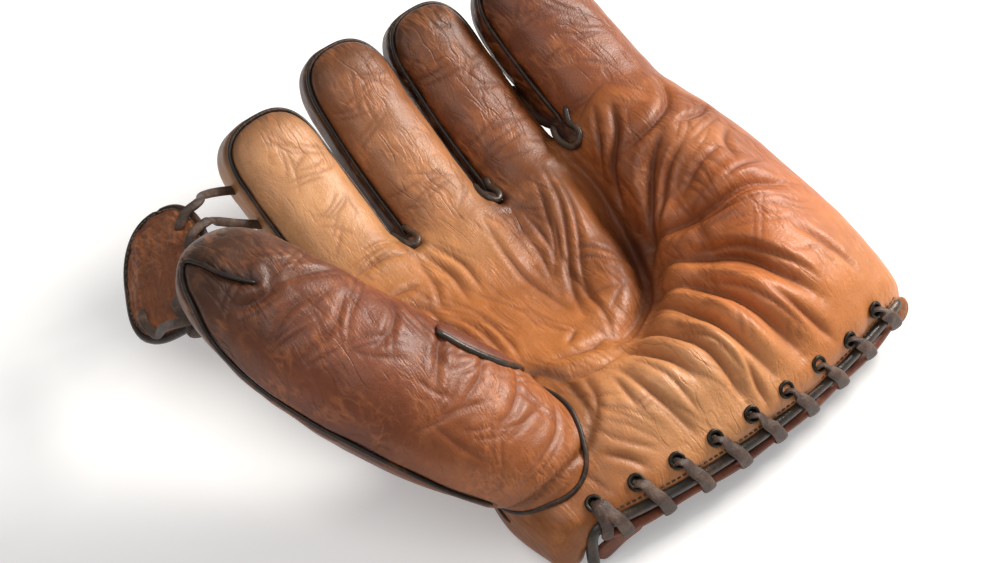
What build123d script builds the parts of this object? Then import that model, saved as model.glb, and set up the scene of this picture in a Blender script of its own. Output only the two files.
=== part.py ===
"""A vintage five-finger baseball fielder's glove for the left hand, lying open on its back.

Millimetres. +X runs from the thumb side to the little-finger side, +Y from the wrist to the
fingertips and +Z up out of the palm. The origin is the centre of the flat on the back of the
hand that the glove rests on.

Every digit is a stall: an outer leather in two halves, front and back, sewn to a welt between
them, with a lining tube inside. The thumb and the little finger also hold thick felt. The palm
is built the same way round the hand's cavity. The fingers hinge where they meet the palm, the
thumb on a line across its root, and a web laced to the index finger hangs on the thumb's tip.
"""
from build123d import *
import math
import os

# ---- leather ------------------------------------------------------------------------------
LEATHER = 2.0          # outer hide
LINING = 1.2           # inner hide
SEAT = 0.3             # gap between two soft layers that lie on each other
WELT = 3.0             # thickness of the welt strip between a front and a back leather
WELT_PROUD = 0.8       # how far a welt stands out of its seam

# ---- palm ---------------------------------------------------------------------------------
END_WALL_Y = 52.0      # the palm's front end, where the fingers start
ROOT_GAP = 0.5         # gap between a finger's root face and the palm's end wall
REST_Z = 0.0           # the glove is pressed flat where it rests
REST_PRESS = 0.4       # how far the back leather would hang below the flat that it is pressed to
HEEL_LEFT = (-62.0, -99.5)     # plan corners of the heel edge, and its furthest point
HEEL_MIDDLE = (36.0, -106.0)
HEEL_RIGHT = (124.0, -88.0)
HEEL_SEAM_Z = 14.0     # height of the seam between the palm's front and back leathers
HEEL_UNDERCUT = 22.0   # how far the heel draws in below that seam
SIDE_WELT_START = -84.0
SIDE_WELT_END = 46.0

# Palm sections from the heel forwards: y, left x, right x, and the top's height at six places.
CROWN_PLACES = (0.08, 0.25, 0.42, 0.60, 0.78, 0.92)
PALM_SECTIONS = [
    (-118, -66, 127, (20, 21, 22, 22, 21, 20)),
    (-101, -68, 128, (24, 29, 32, 33, 31, 26)),
    (-76, -72, 129, (28, 41, 47, 50, 50, 36)),
    (-45, -66, 128, (32, 37, 35, 43, 57, 45)),
    (-10, -60, 126, (36, 33, 30, 36, 59, 51)),
    (25, -68, 122, (36, 34, 33, 35, 58, 54)),
    (66, -72, 115, (38, 38, 37, 40, 58, 50)),
]
SIDE_BULGE = 0.3       # how far up from the seam the right side reaches furthest out
SEAM_TUCK = 1.0        # how far the right side draws in again at the seam
UNDER_CORNER = 16.0    # breadth of the rounding under each side
# The hand's cavity: y, left x, right x, floor z, ceiling z.
CAVITY_FLOOR = LEATHER + SEAT + LINING
CAVITY_SECTIONS = [
    (-130, -62, 128, CAVITY_FLOOR, 14.5),
    (-76, -46, 108, CAVITY_FLOOR, 17.0),
    (-10, -46, 78, CAVITY_FLOOR, 21.0),
    (END_WALL_Y - LEATHER - SEAT, -62, 100, 6.0, 18.0),
]
BACK_OPENING = (-30.0, 98.0, -34.0)   # low x, high x and high y of the open back of the wrist

# ---- heel edge ----------------------------------------------------------------------------
BINDING_R = 2.7        # rolled binding round the wrist edge
BINDING_Z = 21.0
LACE_R = 1.7           # heel lace, as a round of the same girth as the flat rawhide
LACE_ROOM = 0.4        # room round the lace in its holes
LACE_OVER = 4.0        # how far the lace lifts over an eyelet
LACE_OUT = 8.8         # how far the lace stands out from the heel edge, round the binding
LACE_LOW_Z = 11.0      # height at which the lace passes inside under the heel
LACE_TURN_R = 3.0      # radius of the lace's turns
LACE_TAIL = 9.0
EYELET_COUNT = 9
EYELET_WALL = 0.9
EYELET_FLANGE = 1.3
EYELET_FLANGE_THICK = 0.8
EYELET_SETBACK = 6.5  # eyelets stand this far in from the heel edge
EYELET_ENDS = 0.09     # share of the heel edge outside the first and the last eyelet
CROTCH_R = 1.6         # bindings of the palm's edge between two fingers
CROTCH_WIDE = 7.0
CROTCH_DEEP = 15.0
CROTCH_LIFT = 0.8

# ---- wrist strap and snap -----------------------------------------------------------------
STRAP_WIDTH = 32.0
STRAP_THICK = 2.4
STRAP_Z = 1.7          # underside of the strap, so that the snap's cap clears the floor
STRAP_Y = -70.0        # middle of the strap
STRAP_CLEAR = 0.5
TAB_THICK = 2.4
TAB_REACH = 20.0       # how far the tab reaches over the opening
TAB_SEWN = 9.0         # how much of the tab is sewn down beside it
SNAP_SETBACK = 10.0    # the snap stands this far in from the opening's side
SNAP_CAP_R = 7.0
SNAP_CAP_THICK = 1.3
SNAP_RING_R = 5.5
SNAP_POST_R = 2.9
SNAP_HEAD_R = 6.0
SNAP_HEAD_THICK = 1.0

# ---- thumb root and web -------------------------------------------------------------------
# The thumb turns about this line, and its root lies against the palm in a plane through it.
THUMB_PIVOT = (-36.0, -49.0, 40.5)
THUMB_AXIS = (-0.7, 1.0, 0.3)
THUMB_CLOSED = 11.0    # furthest turn of the thumb over the palm, in degrees
THUMB_ROOT_LOW = (-77.0, -64.0, 12.0)
ROOT_CLEAR = 0.25      # half of the gap between the thumb's root face and the collar round it
THUMB_SIDE_CLEAR = 2.6   # side room, so that the thumb can close
THUMB_HEEL_CLEAR = 2.0     # depth and radius of the room behind the thumb's heel end
THUMB_HEEL_R = 12.3
ROOT_REACH = 50.0      # how far past the pivot the thumb's root face runs towards the tip
ROOT_HALF = 110.0      # large enough to cut right through the thumb
WEB_CENTRE = (-122.0, 81.0, 55.0)
WEB_ALONG = (0.43, 0.90, 0.10)     # its long direction, from the thumb's tip to the index finger
WEB_FACING = (-0.49, 0.14, 0.86)
WEB_LENGTH = 60.0
WEB_WIDE = 44.0        # at the thumb's end
WEB_NARROW = 34.0      # at the other end
WEB_CORNER_R = 14.0
WEB_FOLD_PLACE = (-134.0, 38.0, 70.0)   # the web folds on the thumb's tip about this line
WEB_FOLD_AXIS = (-0.588, 0.788, 0.18)
WEB_FOLDED = 12.0
WEB_THUMB_CLEAR = 1.0
WEB_LEATHER = 1.8
WEB_FELT = 2.6
WEB_BIND = 2.2         # how far the edge binding reaches in over the pad's edge
WEB_BIND_THICK = 1.2
WEB_LACE_R = 2.0
# The laces lie loosely in their holes in the digits, in the thumb's on the line it folds about.
WEB_LACE_ROOM = {"index_finger": (2.2, 2.2), "thumb": (0.9, 2.6)}
# Each web lace: its place in the web's own plane, and the hole in the digit that it enters.
WEB_INDEX_LACES = (((20.0, -10.0), (-71.0, 110.0, 47.0)), ((8.0, -13.0), (-72.0, 92.0, 40.0)))
WEB_THUMB_LACES = (((-24.0, 9.0), (-138.0, 43.0, 71.2)), ((-22.0, -8.0), (-130.5, 33.0, 68.8)))
LACE_DEPTH = 3.0       # how far a web lace reaches in past the leather that it enters
LACE_END_ROOM = 3.0    # room past the end of a web lace


class Digit:
    """A digit's centre line and its thickness along it.

    heading and pitch are in degrees, at the start and at the end, heading 0 along +Y and
    positive towards the thumb side. girth lists (share of the length, half width, half height).
    """

    def __init__(self, start, heading, pitch, length, girth):
        self.start, self.heading, self.pitch = start, heading, pitch
        self.length, self.girth = length, girth

    def direction(self, share):
        turn = math.radians(self.heading[0] + share * (self.heading[1] - self.heading[0]))
        rise = math.radians(self.pitch[0] + share * (self.pitch[1] - self.pitch[0]))
        level = math.cos(rise)
        return Vector(-math.sin(turn) * level, math.cos(turn) * level, math.sin(rise))

    def point(self, share, steps=40):
        place = Vector(*self.start)
        for i in range(steps):
            place += self.direction(share * (i + 0.5) / steps) * (self.length * share / steps)
        return place

    def plane(self, share, rise=0.0):
        """Section plane: local x across the digit, local y out of its front, rise along y."""
        ahead = self.direction(share)
        across = ahead.cross(Vector(0, 0, 1)).normalized()
        flat = Plane(origin=self.point(share), x_dir=across, z_dir=-ahead)
        return flat.shift_origin(flat.from_local_coords(Vector(0, rise, 0)))

    def solid(self, inset=0.0, shares=None, rise=0.0):
        """Closed round body of the digit, inset all round by a distance."""
        with BuildPart() as body:
            for share, wide, high in self.girth if shares is None else shares:
                with BuildSketch(self.plane(share, rise)):
                    Ellipse(wide - inset, high - inset)
            loft()
        return body.part

    def slab(self, thick, rise):
        """Band across the whole digit, of that thickness, that follows its centre line."""
        with BuildPart() as band:
            for share in (-0.12, 0.0, 0.2, 0.4, 0.6, 0.8, 1.0, 1.12):
                with BuildSketch(self.plane(share, rise)):
                    Rectangle(110, thick)
            loft()
        return band.part


FINGER_GIRTH = [(0.0, 20.0, 16.0), (0.2, 20.2, 17.4), (0.45, 20.2, 18.0), (0.68, 20.0, 17.0),
                (0.84, 18.0, 14.6), (0.94, 13.4, 10.8), (1.0, 5.5, 4.5)]
INDEX_GIRTH = [(0.0, 20.0, 16.0), (0.2, 21.0, 17.6), (0.45, 22.0, 18.5), (0.68, 21.8, 17.5),
               (0.84, 19.4, 15.0), (0.94, 14.4, 11.2), (1.0, 6.0, 5.0)]
DIGITS = {
    "index_finger": Digit((-48, 44, 21), (2, 6), (14, 38), 93, INDEX_GIRTH),
    "middle_finger": Digit((-3.5, 44, 21), (0, 2), (14, 38), 105, FINGER_GIRTH),
    "ring_finger": Digit((39.5, 44, 21), (0, 3), (14, 38), 103, FINGER_GIRTH),
    "little_finger": Digit(
        (88.3, 44, 35), (2, 8), (14, 36), 94,
        [(0.0, 26.3, 22.5), (0.2, 26.0, 22.0), (0.45, 25.6, 21.0), (0.68, 24.6, 19.5),
         (0.84, 21.0, 16.5), (0.94, 15.0, 12.5), (1.0, 6.0, 5.0)]),
    "thumb": Digit(
        (-35, -78, 20), (54, 11), (29, 16), 178,
        [(0.0, 8.0, 6.5), (0.06, 19.0, 13.5), (0.16, 27.0, 18.5), (0.32, 31.0, 23.0),
         (0.5, 30.8, 25.2), (0.68, 28.6, 25.0), (0.82, 25.2, 22.8), (0.92, 19.0, 18.0),
         (0.98, 11.5, 11.5), (1.0, 6.0, 6.0)]),
}
FINGERS = [name for name in DIGITS if name != "thumb"]
# The two thick digits hold felt round a narrower stall: its girth and how far it lies lower.
THICK_STALLS = {
    "little_finger": [(-0.12, 13.0, 8.0), (0.3, 13.0, 8.4), (0.6, 11.5, 7.8), (0.8, 7.0, 5.5)],
    "thumb": [(0.26, 11.0, 8.0), (0.45, 13.5, 10.0), (0.7, 13.0, 10.0), (0.86, 8.0, 7.0)],
}
STALL_DROP = {"little_finger": -6.5, "thumb": -6.0}
SEAM_RISE = {"thumb": -6.0, "little_finger": 4.0}
FINGER_SEAM_RISE = 6.0

parts = {}


def keep(name, shape):
    """Labels a finished piece and holds it for the export at the end."""
    shape.label = name
    parts[name] = shape


def box_between(low, high):
    """Block between two corners."""
    size = [b - a for a, b in zip(low, high)]
    middle = [(a + b) / 2 for a, b in zip(low, high)]
    return Pos(*middle) * Box(*size)


def front_and_back(shape):
    """The two halves of a shell cut at its seam, the higher first, without stray slivers."""
    halves = sorted(shape.solids(), key=lambda solid: -solid.volume)[:2]
    return [Part() + half for half in sorted(halves, key=lambda solid: -solid.center().Z)]


def disc(plane, radius, depth, bore=0.0):
    """Round plate standing on a plane, with an optional bore."""
    with BuildPart() as plate:
        with BuildSketch(plane):
            Circle(radius)
            if bore:
                Circle(bore, mode=Mode.SUBTRACT)
        extrude(amount=depth)
    return plate.part


def bar_between(start, end, radius):
    """Straight round bar from one point to another."""
    start, end = Vector(*start), Vector(*end)
    return disc(Plane(origin=start, z_dir=end - start), radius, (end - start).length)


def turned(shape, place, axis, furthest):
    """The shape at rest, half turned and fully turned about a line, as one list."""
    line = Axis(place, axis)
    return [shape.rotate(line, furthest * share) for share in (0.0, 0.5, 1.0)]


def bent_bar(points, radii, radius):
    """Round bar along straight runs joined by arcs."""
    with BuildPart() as bar:
        with BuildLine() as way:
            FilletPolyline(*points, radius=radii)
        with BuildSketch(Plane(origin=way.line @ 0, z_dir=way.line % 0)):
            Circle(radius)
        sweep()
    return bar.part


# ---- palm body ----------------------------------------------------------------------------
def plan_outline(z, inset, end):
    """Sketch of the palm's plan at a height, its heel edge drawn in and its far end at end."""
    left, middle, right = [(x, y + inset) for x, y in (HEEL_LEFT, HEEL_MIDDLE, HEEL_RIGHT)]
    far_left, far_right = (left[0] - 30, left[1]), (right[0] + 30, right[1])
    with BuildSketch(Plane.XY.offset(z)) as outline:
        with BuildLine():
            Line(far_left, left)
            ThreePointArc(left, middle, right)
            Polyline(right, far_right, (far_right[0], end), (far_left[0], end), far_left)
        make_face()
    return outline.sketch


def plan_prism(inset):
    """Upright prism over the palm's plan outline, with its heel undercut down to the rest."""
    end = END_WALL_Y - inset
    rim = plan_outline(HEEL_SEAM_Z, inset, end)
    foot = plan_outline(REST_Z - 4, inset + HEEL_UNDERCUT, end)
    with BuildPart() as prism:
        extrude(rim, amount=80)
        loft([foot.face(), rim.face()])
    return prism.part


def palm_over(section, inset, low):
    """Points over the top of a palm section, from its left seam to its right, at an inset."""
    y, left, right, crown = section
    width = right - left
    points = [(left + inset, low), (left + width * CROWN_PLACES[0] + inset / 2, crown[0] - inset)]
    points += [(left + width * f, z - inset) for f, z in zip(CROWN_PLACES[1:], crown[1:])]
    bulge = low + (crown[-1] - inset - low) * SIDE_BULGE
    return points + [(right - inset, bulge), (right - SEAM_TUCK - inset, low)]


def palm_under(section, inset, high, press=0.0):
    """Points under a palm section, from its left seam to its right, at an inset."""
    y, left, right, crown = section
    return [(left + inset, high), (left + UNDER_CORNER / 3 + inset, UNDER_CORNER / 4 + inset),
            (left + UNDER_CORNER, REST_Z + inset - press),
            (right - UNDER_CORNER, REST_Z + inset - press),
            (right - UNDER_CORNER / 3 - inset, UNDER_CORNER / 4 + inset),
            (right - SEAM_TUCK - inset, high)]


def palm_layer(over=None, under=None):
    """Layer of the palm between two insets over it, under it, or closed over and under.

    over and under are (outer inset, inner inset, height of the layer's edge), and under ends
    with how far its outside is pressed below the rest; with both given the layer is a whole
    body at their outer insets.
    """
    with BuildPart() as layer:
        for section in PALM_SECTIONS:
            with BuildSketch(Plane(origin=(0, section[0], 0), x_dir=(1, 0, 0), z_dir=(0, -1, 0))):
                with BuildLine():
                    if over:
                        outside = Spline(*palm_over(section, over[0], over[2]))
                    if under:
                        underside = Polyline(*palm_under(section, under[0], *under[2:]))
                    if over and not under:
                        inside = Spline(*palm_over(section, over[1], over[2]))
                        Line(outside @ 0, inside @ 0)
                        Line(outside @ 1, inside @ 1)
                    if under and not over:
                        inside = Polyline(*palm_under(section, under[1], under[2]))
                        Line(underside @ 0, inside @ 0)
                        Line(underside @ 1, inside @ 1)
                make_face()
        loft()
    return layer.part


def side_strip(side):
    """Welt strip along one side of the palm, side -1 for the left and 1 for the right."""
    with BuildPart() as strip:
        for y, left, right, crown in PALM_SECTIONS:
            edge = left if side < 0 else right - SEAM_TUCK
            middle = edge + side * (WELT_PROUD - LEATHER) / 2
            with BuildSketch(Plane(origin=(middle, y, HEEL_SEAM_Z), x_dir=(1, 0, 0),
                                   z_dir=(0, -1, 0))):
                Rectangle(WELT_PROUD + LEATHER, WELT)
        loft()
    return strip.part & box_between((-200, SIDE_WELT_START, 0), (200, SIDE_WELT_END, 40))


def cavity(grow=0.0):
    """Space for the hand, grown on its sides."""
    with BuildPart() as space:
        for y, left, right, low, high in CAVITY_SECTIONS:
            with BuildSketch(Plane(origin=((left + right) / 2, y, (low + high) / 2),
                                   x_dir=(1, 0, 0), z_dir=(0, -1, 0))):
                tall = high - low + 2 * grow
                RectangleRounded(right - left + 2 * grow, tall, tall * 0.48)
        loft(ruled=True)
    return space.part


# ---- the thumb's root ---------------------------------------------------------------------
def root_block(depth, back=0.0):
    """The palm's side of the thumb's root, as a block under a plane through the thumb's axis.

    It lies that far below the plane, and its end towards the thumb's tip stands back.
    """
    pivot, low = Vector(*THUMB_PIVOT), Vector(*THUMB_ROOT_LOW)
    along = Vector(*THUMB_AXIS).normalized()
    plane = Plane(origin=pivot, x_dir=along, z_dir=along.cross(low - pivot))
    return plane.location * box_between((-ROOT_HALF, -ROOT_HALF, -ROOT_HALF),
                                        (ROOT_REACH - back, ROOT_HALF, -depth))


def thumb_passage(grow=0.0):
    """Way for the thumb from the hand's cavity into the thumb stall."""
    with BuildPart() as way:
        for origin, wide, high in (((-24, -46, 12.5), 12.0, 6.5), ((-44, -44, 20), 11.0, 7.5),
                                   ((-74, -34, 36), 10.0, 8.0)):
            with BuildSketch(Plane(origin=origin, x_dir=(-0.2, -0.98, 0),
                                   z_dir=(-0.85, 0.17, 0.5))):
                Ellipse(wide + grow, high + grow)
        loft()
    return way.part


# ---- web ----------------------------------------------------------------------------------
web_plane = Plane(origin=WEB_CENTRE, x_dir=WEB_ALONG, z_dir=WEB_FACING)


def web_slab(low, high, grow=0.0):
    """Layer of the web between two heights over its middle plane, its outline grown."""
    with BuildPart() as layer:
        with BuildSketch(web_plane.offset(low)):
            with BuildLine():
                Polyline((-WEB_LENGTH / 2, -WEB_WIDE / 2), (WEB_LENGTH / 2, -WEB_NARROW / 2),
                         (WEB_LENGTH / 2, WEB_NARROW / 2), (-WEB_LENGTH / 2, WEB_WIDE / 2),
                         close=True)
            outline = make_face()
            fillet(outline.vertices(), WEB_CORNER_R)
            offset(amount=grow, mode=Mode.REPLACE)
        extrude(amount=high - low)
    return layer.part


def web_laces(ends):
    """Both ends of each straight lace from the web into another leather."""
    laces = []
    for place, hole in ends:
        start = web_plane.from_local_coords(Vector(*place, 0))
        way = (Vector(*hole) - start).normalized()
        laces.append((start - way * LACE_DEPTH, Vector(*hole) + way * LACE_DEPTH))
    return laces


index_laces = web_laces(WEB_INDEX_LACES)
thumb_laces = web_laces(WEB_THUMB_LACES)


def room_for_laces(digit, laces):
    """Room for laces in a digit that they enter, longer and wider than they are."""
    rooms = []
    for (start, end), room in zip(laces, WEB_LACE_ROOM[digit]):
        way = (end - start).normalized()
        rooms.append(bar_between(start, end + way * LACE_END_ROOM, WEB_LACE_R + room))
    return rooms


lace_rooms = {"index_finger": room_for_laces("index_finger", index_laces),
              "thumb": room_for_laces("thumb", thumb_laces)}
for name, laces in (("web_index_lace", index_laces), ("web_thumb_lace", thumb_laces)):
    keep(name, Part() + [bar_between(a, b, WEB_LACE_R) for a, b in laces])
web_cuts = [bar_between(a, b, WEB_LACE_R + SEAT) for a, b in index_laces + thumb_laces]
web_cuts += turned(DIGITS["thumb"].solid(-WELT_PROUD - WEB_THUMB_CLEAR), WEB_FOLD_PLACE,
                   WEB_FOLD_AXIS, WEB_FOLDED)

half_felt = WEB_FELT / 2
face_low, face_high = half_felt + SEAT, half_felt + SEAT + WEB_LEATHER
bind_in, bind_out = face_high + SEAT, face_high + SEAT + WEB_BIND_THICK
keep("web_pad", web_slab(-half_felt, half_felt) - web_cuts)
keep("web_front_leather", web_slab(face_low, face_high) - web_cuts)
keep("web_back_leather", web_slab(-face_high, -face_low) - web_cuts)
binding = web_slab(-bind_out, bind_out, SEAT + WEB_BIND_THICK) - web_slab(-bind_in, bind_in, SEAT)
keep("web_binding", binding - [web_slab(-bind_out, bind_out, -WEB_BIND)] - web_cuts)


# ---- digits -------------------------------------------------------------------------------
def make_digit(name):
    """Makes a digit's leathers, welt, lining and any felt, and returns the space inside it."""
    digit = DIGITS[name]
    inner = digit.solid(LEATHER)
    rise = SEAM_RISE.get(name, FINGER_SEAM_RISE)
    halves = digit.solid() - inner - digit.slab(WELT + 2 * SEAT, rise)
    made = {"welt": (digit.slab(WELT, rise) & digit.solid(-WELT_PROUD)) - inner}
    if name in THICK_STALLS:
        stall, drop = THICK_STALLS[name], STALL_DROP[name]
        hollow = digit.solid(0.0, stall, drop)
        made["lining"] = digit.solid(-LINING, stall, drop) - hollow
        made["felt"] = digit.solid(LEATHER + SEAT) - digit.solid(-LINING - SEAT, stall, drop)
    else:
        hollow = digit.solid(LEATHER + SEAT + LINING)
        made["lining"] = digit.solid(LEATHER + SEAT) - hollow
    if name == "thumb":
        passage = thumb_passage(LINING)
        halves, made["felt"] = halves - passage, made["felt"] - passage
        made["lining"] = made["lining"] - thumb_passage()
        root = root_block(-ROOT_CLEAR)
    else:
        root = box_between((-200, -200, -50), (200, END_WALL_Y + ROOT_GAP, 150))
    made["front_leather"], made["back_leather"] = front_and_back(halves - root)
    for piece, shape in made.items():
        keep(f"{name}_{piece}", Part() + (shape - root - lace_rooms.get(name, [])))
    return hollow


hollows = {name: make_digit(name) for name in DIGITS}


# ---- palm layers --------------------------------------------------------------------------
thumb = DIGITS["thumb"]
collar_depth = ROOT_CLEAR + WELT
around = WELT_PROUD + THUMB_SIDE_CLEAR
thumb_around = thumb.solid(-around) + disc(thumb.plane(0.0), THUMB_HEEL_R, THUMB_HEEL_CLEAR)
thumb_room = thumb_around - root_block(collar_depth + SEAT, around)
closed_block = root_block(ROOT_CLEAR, SEAT).rotate(Axis(THUMB_PIVOT, THUMB_AXIS), THUMB_CLOSED)
collar = (thumb.solid(-WELT_PROUD) - thumb.solid(LEATHER)) & root_block(ROOT_CLEAR, SEAT)
collar = (collar & closed_block) - root_block(collar_depth) - thumb_passage(LINING)
keep("thumb_seam_welt", Part() + collar)

finger_rooms = [hollows[name] for name in FINGERS]
back_opening = box_between((BACK_OPENING[0], -140, REST_Z - 5),
                           (BACK_OPENING[1], BACK_OPENING[2], 12))
below_rest = box_between((-200, -200, REST_Z - 20), (200, 200, REST_Z))


def palm_piece(shape):
    """Trims a layer at the heel and the rest, and cuts out the thumb's room, the stalls and the
    open back."""
    shape = shape & plan_prism(0)
    for room in [thumb_room, thumb_passage(LINING), back_opening, below_rest] + finger_rooms:
        shape = shape - room
    return shape


seam_low, seam_high = HEEL_SEAM_Z - WELT / 2, HEEL_SEAM_Z + WELT / 2
palm_front = palm_layer(over=(0, LEATHER, seam_high + SEAT))
top_of_palm = palm_front
palm_front = palm_piece(palm_front)
palm_back = palm_piece(palm_layer(under=(0, LEATHER, seam_low - SEAT, REST_PRESS)))
keep("palm_side_welt", palm_piece(Part() + [side_strip(-1), side_strip(1)]))
pad_inset = LEATHER + 2 * SEAT
padding = palm_layer(over=(pad_inset, 0, HEEL_SEAM_Z), under=(pad_inset, 0, HEEL_SEAM_Z, 0))
padding = palm_piece(padding - cavity(LINING + SEAT))
lining = palm_piece(cavity(LINING) - cavity())


# ---- heel edge ----------------------------------------------------------------------------
heel_edge = ThreePointArc(HEEL_LEFT, HEEL_MIDDLE, HEEL_RIGHT)


def heel_place(share, setback, z):
    """Point at a share of the heel edge, set back from it into the palm."""
    inward = Vector(0, 0, 1).cross(heel_edge % share)
    return Vector(0, 0, z) + (heel_edge @ share) + inward * setback


def crown_plane(x, y, along):
    """Plane that touches the top of the palm over a point of the plan, facing out."""
    hits = top_of_palm.find_intersection_points(Axis((x, y, 100), (0, 0, -1)))
    point, normal = max(hits, key=lambda hit: hit[0].Z)
    return Plane(origin=point, x_dir=along, z_dir=normal if normal.Z > 0 else -normal)


with BuildPart() as heel_binding:
    with BuildLine():
        binding_way = ThreePointArc(*[heel_place(share, -BINDING_R - SEAT, BINDING_Z)
                                      for share in (0.0, 0.5, 1.0)])
    with BuildSketch(Plane(origin=binding_way @ 0, z_dir=binding_way % 0)):
        Circle(BINDING_R)
    sweep()
keep("heel_binding", heel_binding.part)

eyelet_step = (1 - 2 * EYELET_ENDS) / (EYELET_COUNT - 1)
eyelet_shares = [EYELET_ENDS + i * eyelet_step for i in range(EYELET_COUNT)]
eyelet_planes = []
for share in eyelet_shares:
    spot = heel_place(share, EYELET_SETBACK, 0)
    eyelet_planes.append(crown_plane(spot.X, spot.Y, heel_edge % share))
lace_hole_r = LACE_R + LACE_ROOM
barrel_r = lace_hole_r + EYELET_WALL
eyelets = []
for plane in eyelet_planes:
    barrel = disc(plane.offset(-LEATHER), barrel_r, LEATHER + SEAT, lace_hole_r)
    flange = disc(plane.offset(SEAT), barrel_r + EYELET_FLANGE, EYELET_FLANGE_THICK, lace_hole_r)
    eyelets.append(barrel + flange)
keep("heel_eyelets", Part() + eyelets)

lace_points = []
for share, plane in zip(eyelet_shares, eyelet_planes):
    rise = plane.z_dir
    outward = -Vector(0, 0, 1).cross(heel_edge % share)
    under = plane.origin - rise * ((plane.origin.Z - LACE_LOW_Z) / rise.Z)
    if not lace_points:
        lace_points.append(under + Vector(LACE_TAIL, 0, 0))
    over = plane.origin + rise * LACE_OVER
    lace_points += [under, over, over + outward * (EYELET_SETBACK * 0.6)]
    lace_points.append(heel_place(share + 0.3 * eyelet_step, -LACE_OUT, BINDING_Z))
    lace_points.append(heel_place(share + 0.5 * eyelet_step, -LACE_OUT + 1, LACE_LOW_Z))
lace_points.append(heel_place(eyelet_shares[-1] + 0.4 * eyelet_step, LACE_TAIL, LACE_LOW_Z))


def turn_radii(points, largest):
    """Radius of each corner's arc: as large as its runs allow, up to the largest."""
    radii = []
    for before, corner, after in zip(points, points[1:], points[2:]):
        turn = math.radians((corner - before).get_angle(after - corner))
        run = min((corner - before).length, (after - corner).length)
        radii.append(min(largest, 0.45 * run / math.tan(turn / 2)))
    return radii


lace_radii = turn_radii(lace_points, LACE_TURN_R)
print("heel lace radii", [round(radius, 1) for radius in lace_radii])
heel_lace = bent_bar(lace_points, lace_radii, LACE_R)
keep("heel_lace", heel_lace)
print("heel lace volume over its section", round(heel_lace.volume / (math.pi * LACE_R ** 2)))

barrel_holes = [disc(plane.offset(-2 * LEATHER), barrel_r + SEAT / 2, 4 * LEATHER)
                for plane in eyelet_planes]
lace_way = bent_bar(lace_points, lace_radii, lace_hole_r)
keep("palm_leather", Part() + (palm_front - barrel_holes))
keep("palm_pad", Part() + (padding - barrel_holes - lace_way))
keep("hand_lining", Part() + (lining - lace_way))
keep("back_leather", palm_back)

crotch_low_z = CAVITY_SECTIONS[-1][-1] + LINING + CROTCH_R + 2 * SEAT
crotches = []
for left, right in zip(FINGERS, FINGERS[1:]):
    middle = (DIGITS[left].point(0) + DIGITS[right].point(0)) / 2
    corners = []
    for side, y in ((-1, END_WALL_Y - CROTCH_DEEP), (-1, END_WALL_Y - CROTCH_R),
                    (1, END_WALL_Y - CROTCH_R), (1, END_WALL_Y - CROTCH_DEEP)):
        touch = crown_plane(middle.X + side * CROTCH_WIDE, y, (1, 0, 0))
        corner = touch.offset(CROTCH_R + CROTCH_LIFT).origin
        corners.append(Vector(corner.X, corner.Y, max(corner.Z, crotch_low_z)))
    crotches.append(bent_bar(corners, [CROTCH_WIDE * 0.8] * 2, CROTCH_R))
keep("crotch_bindings", Part() + crotches)


# ---- wrist strap and snap -----------------------------------------------------------------
strap_left, strap_right = BACK_OPENING[0] + STRAP_CLEAR, BACK_OPENING[1] - STRAP_CLEAR
strap_top = STRAP_Z + STRAP_THICK
tab_low, tab_high = strap_top + SEAT, strap_top + SEAT + TAB_THICK
snap_x = BACK_OPENING[0] + SNAP_SETBACK
snap = (snap_x, STRAP_Y)
ring_bore = SNAP_POST_R + SEAT

with BuildPart() as strap:
    with BuildSketch(Plane.XY.offset(STRAP_Z)):
        with Locations(((strap_left + strap_right) / 2, STRAP_Y)):
            Rectangle(strap_right - strap_left, STRAP_WIDTH)
    extrude(amount=STRAP_THICK)
    fillet(strap.edges().filter_by(Axis.Z).group_by(Axis.X)[0], STRAP_WIDTH * 0.3)
    with Locations((*snap, strap_top)):
        Hole(SNAP_RING_R + SEAT)
keep("wrist_strap", strap.part)

cap_plane = Plane.XY.offset(STRAP_Z - SEAT / 2 - SNAP_CAP_THICK)
cap_plane = cap_plane.shift_origin((*snap, cap_plane.origin.Z))
cap = disc(cap_plane, SNAP_CAP_R, SNAP_CAP_THICK)
ring = disc(cap_plane.offset(SNAP_CAP_THICK), SNAP_RING_R, strap_top - STRAP_Z, ring_bore)
keep("snap_cap", cap + ring)

with BuildPart() as tab:
    with BuildSketch(Plane.XY.offset(tab_low)):
        with Locations((BACK_OPENING[0] + (TAB_REACH - TAB_SEWN) / 2, STRAP_Y)):
            Rectangle(TAB_REACH + TAB_SEWN, STRAP_WIDTH)
    extrude(amount=TAB_THICK)
    fillet(tab.edges().filter_by(Axis.Z).group_by(Axis.X)[-1], STRAP_WIDTH * 0.3)
    with BuildSketch(Plane.XY.offset(CAVITY_FLOOR + SEAT)):
        with Locations((BACK_OPENING[0] - TAB_SEWN / 2 - STRAP_CLEAR, STRAP_Y)):
            Rectangle(TAB_SEWN - 2 * STRAP_CLEAR, STRAP_WIDTH)
    extrude(until=Until.NEXT)
    with Locations((*snap, tab_high)):
        Hole(SNAP_POST_R)
keep("wrist_tab", tab.part)

stud_plane = Plane(origin=(*snap, STRAP_Z + SEAT))
head_plane = Plane(origin=(*snap, tab_high))
stud = disc(stud_plane, SNAP_POST_R, tab_high - stud_plane.origin.Z)
keep("snap_stud", stud + disc(head_plane, SNAP_HEAD_R, SNAP_HEAD_THICK))


os.makedirs("parts", exist_ok=True)
for name, shape in parts.items():
    export_step(shape, f"parts/{name}.step")
print(len(parts), "pieces")
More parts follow.
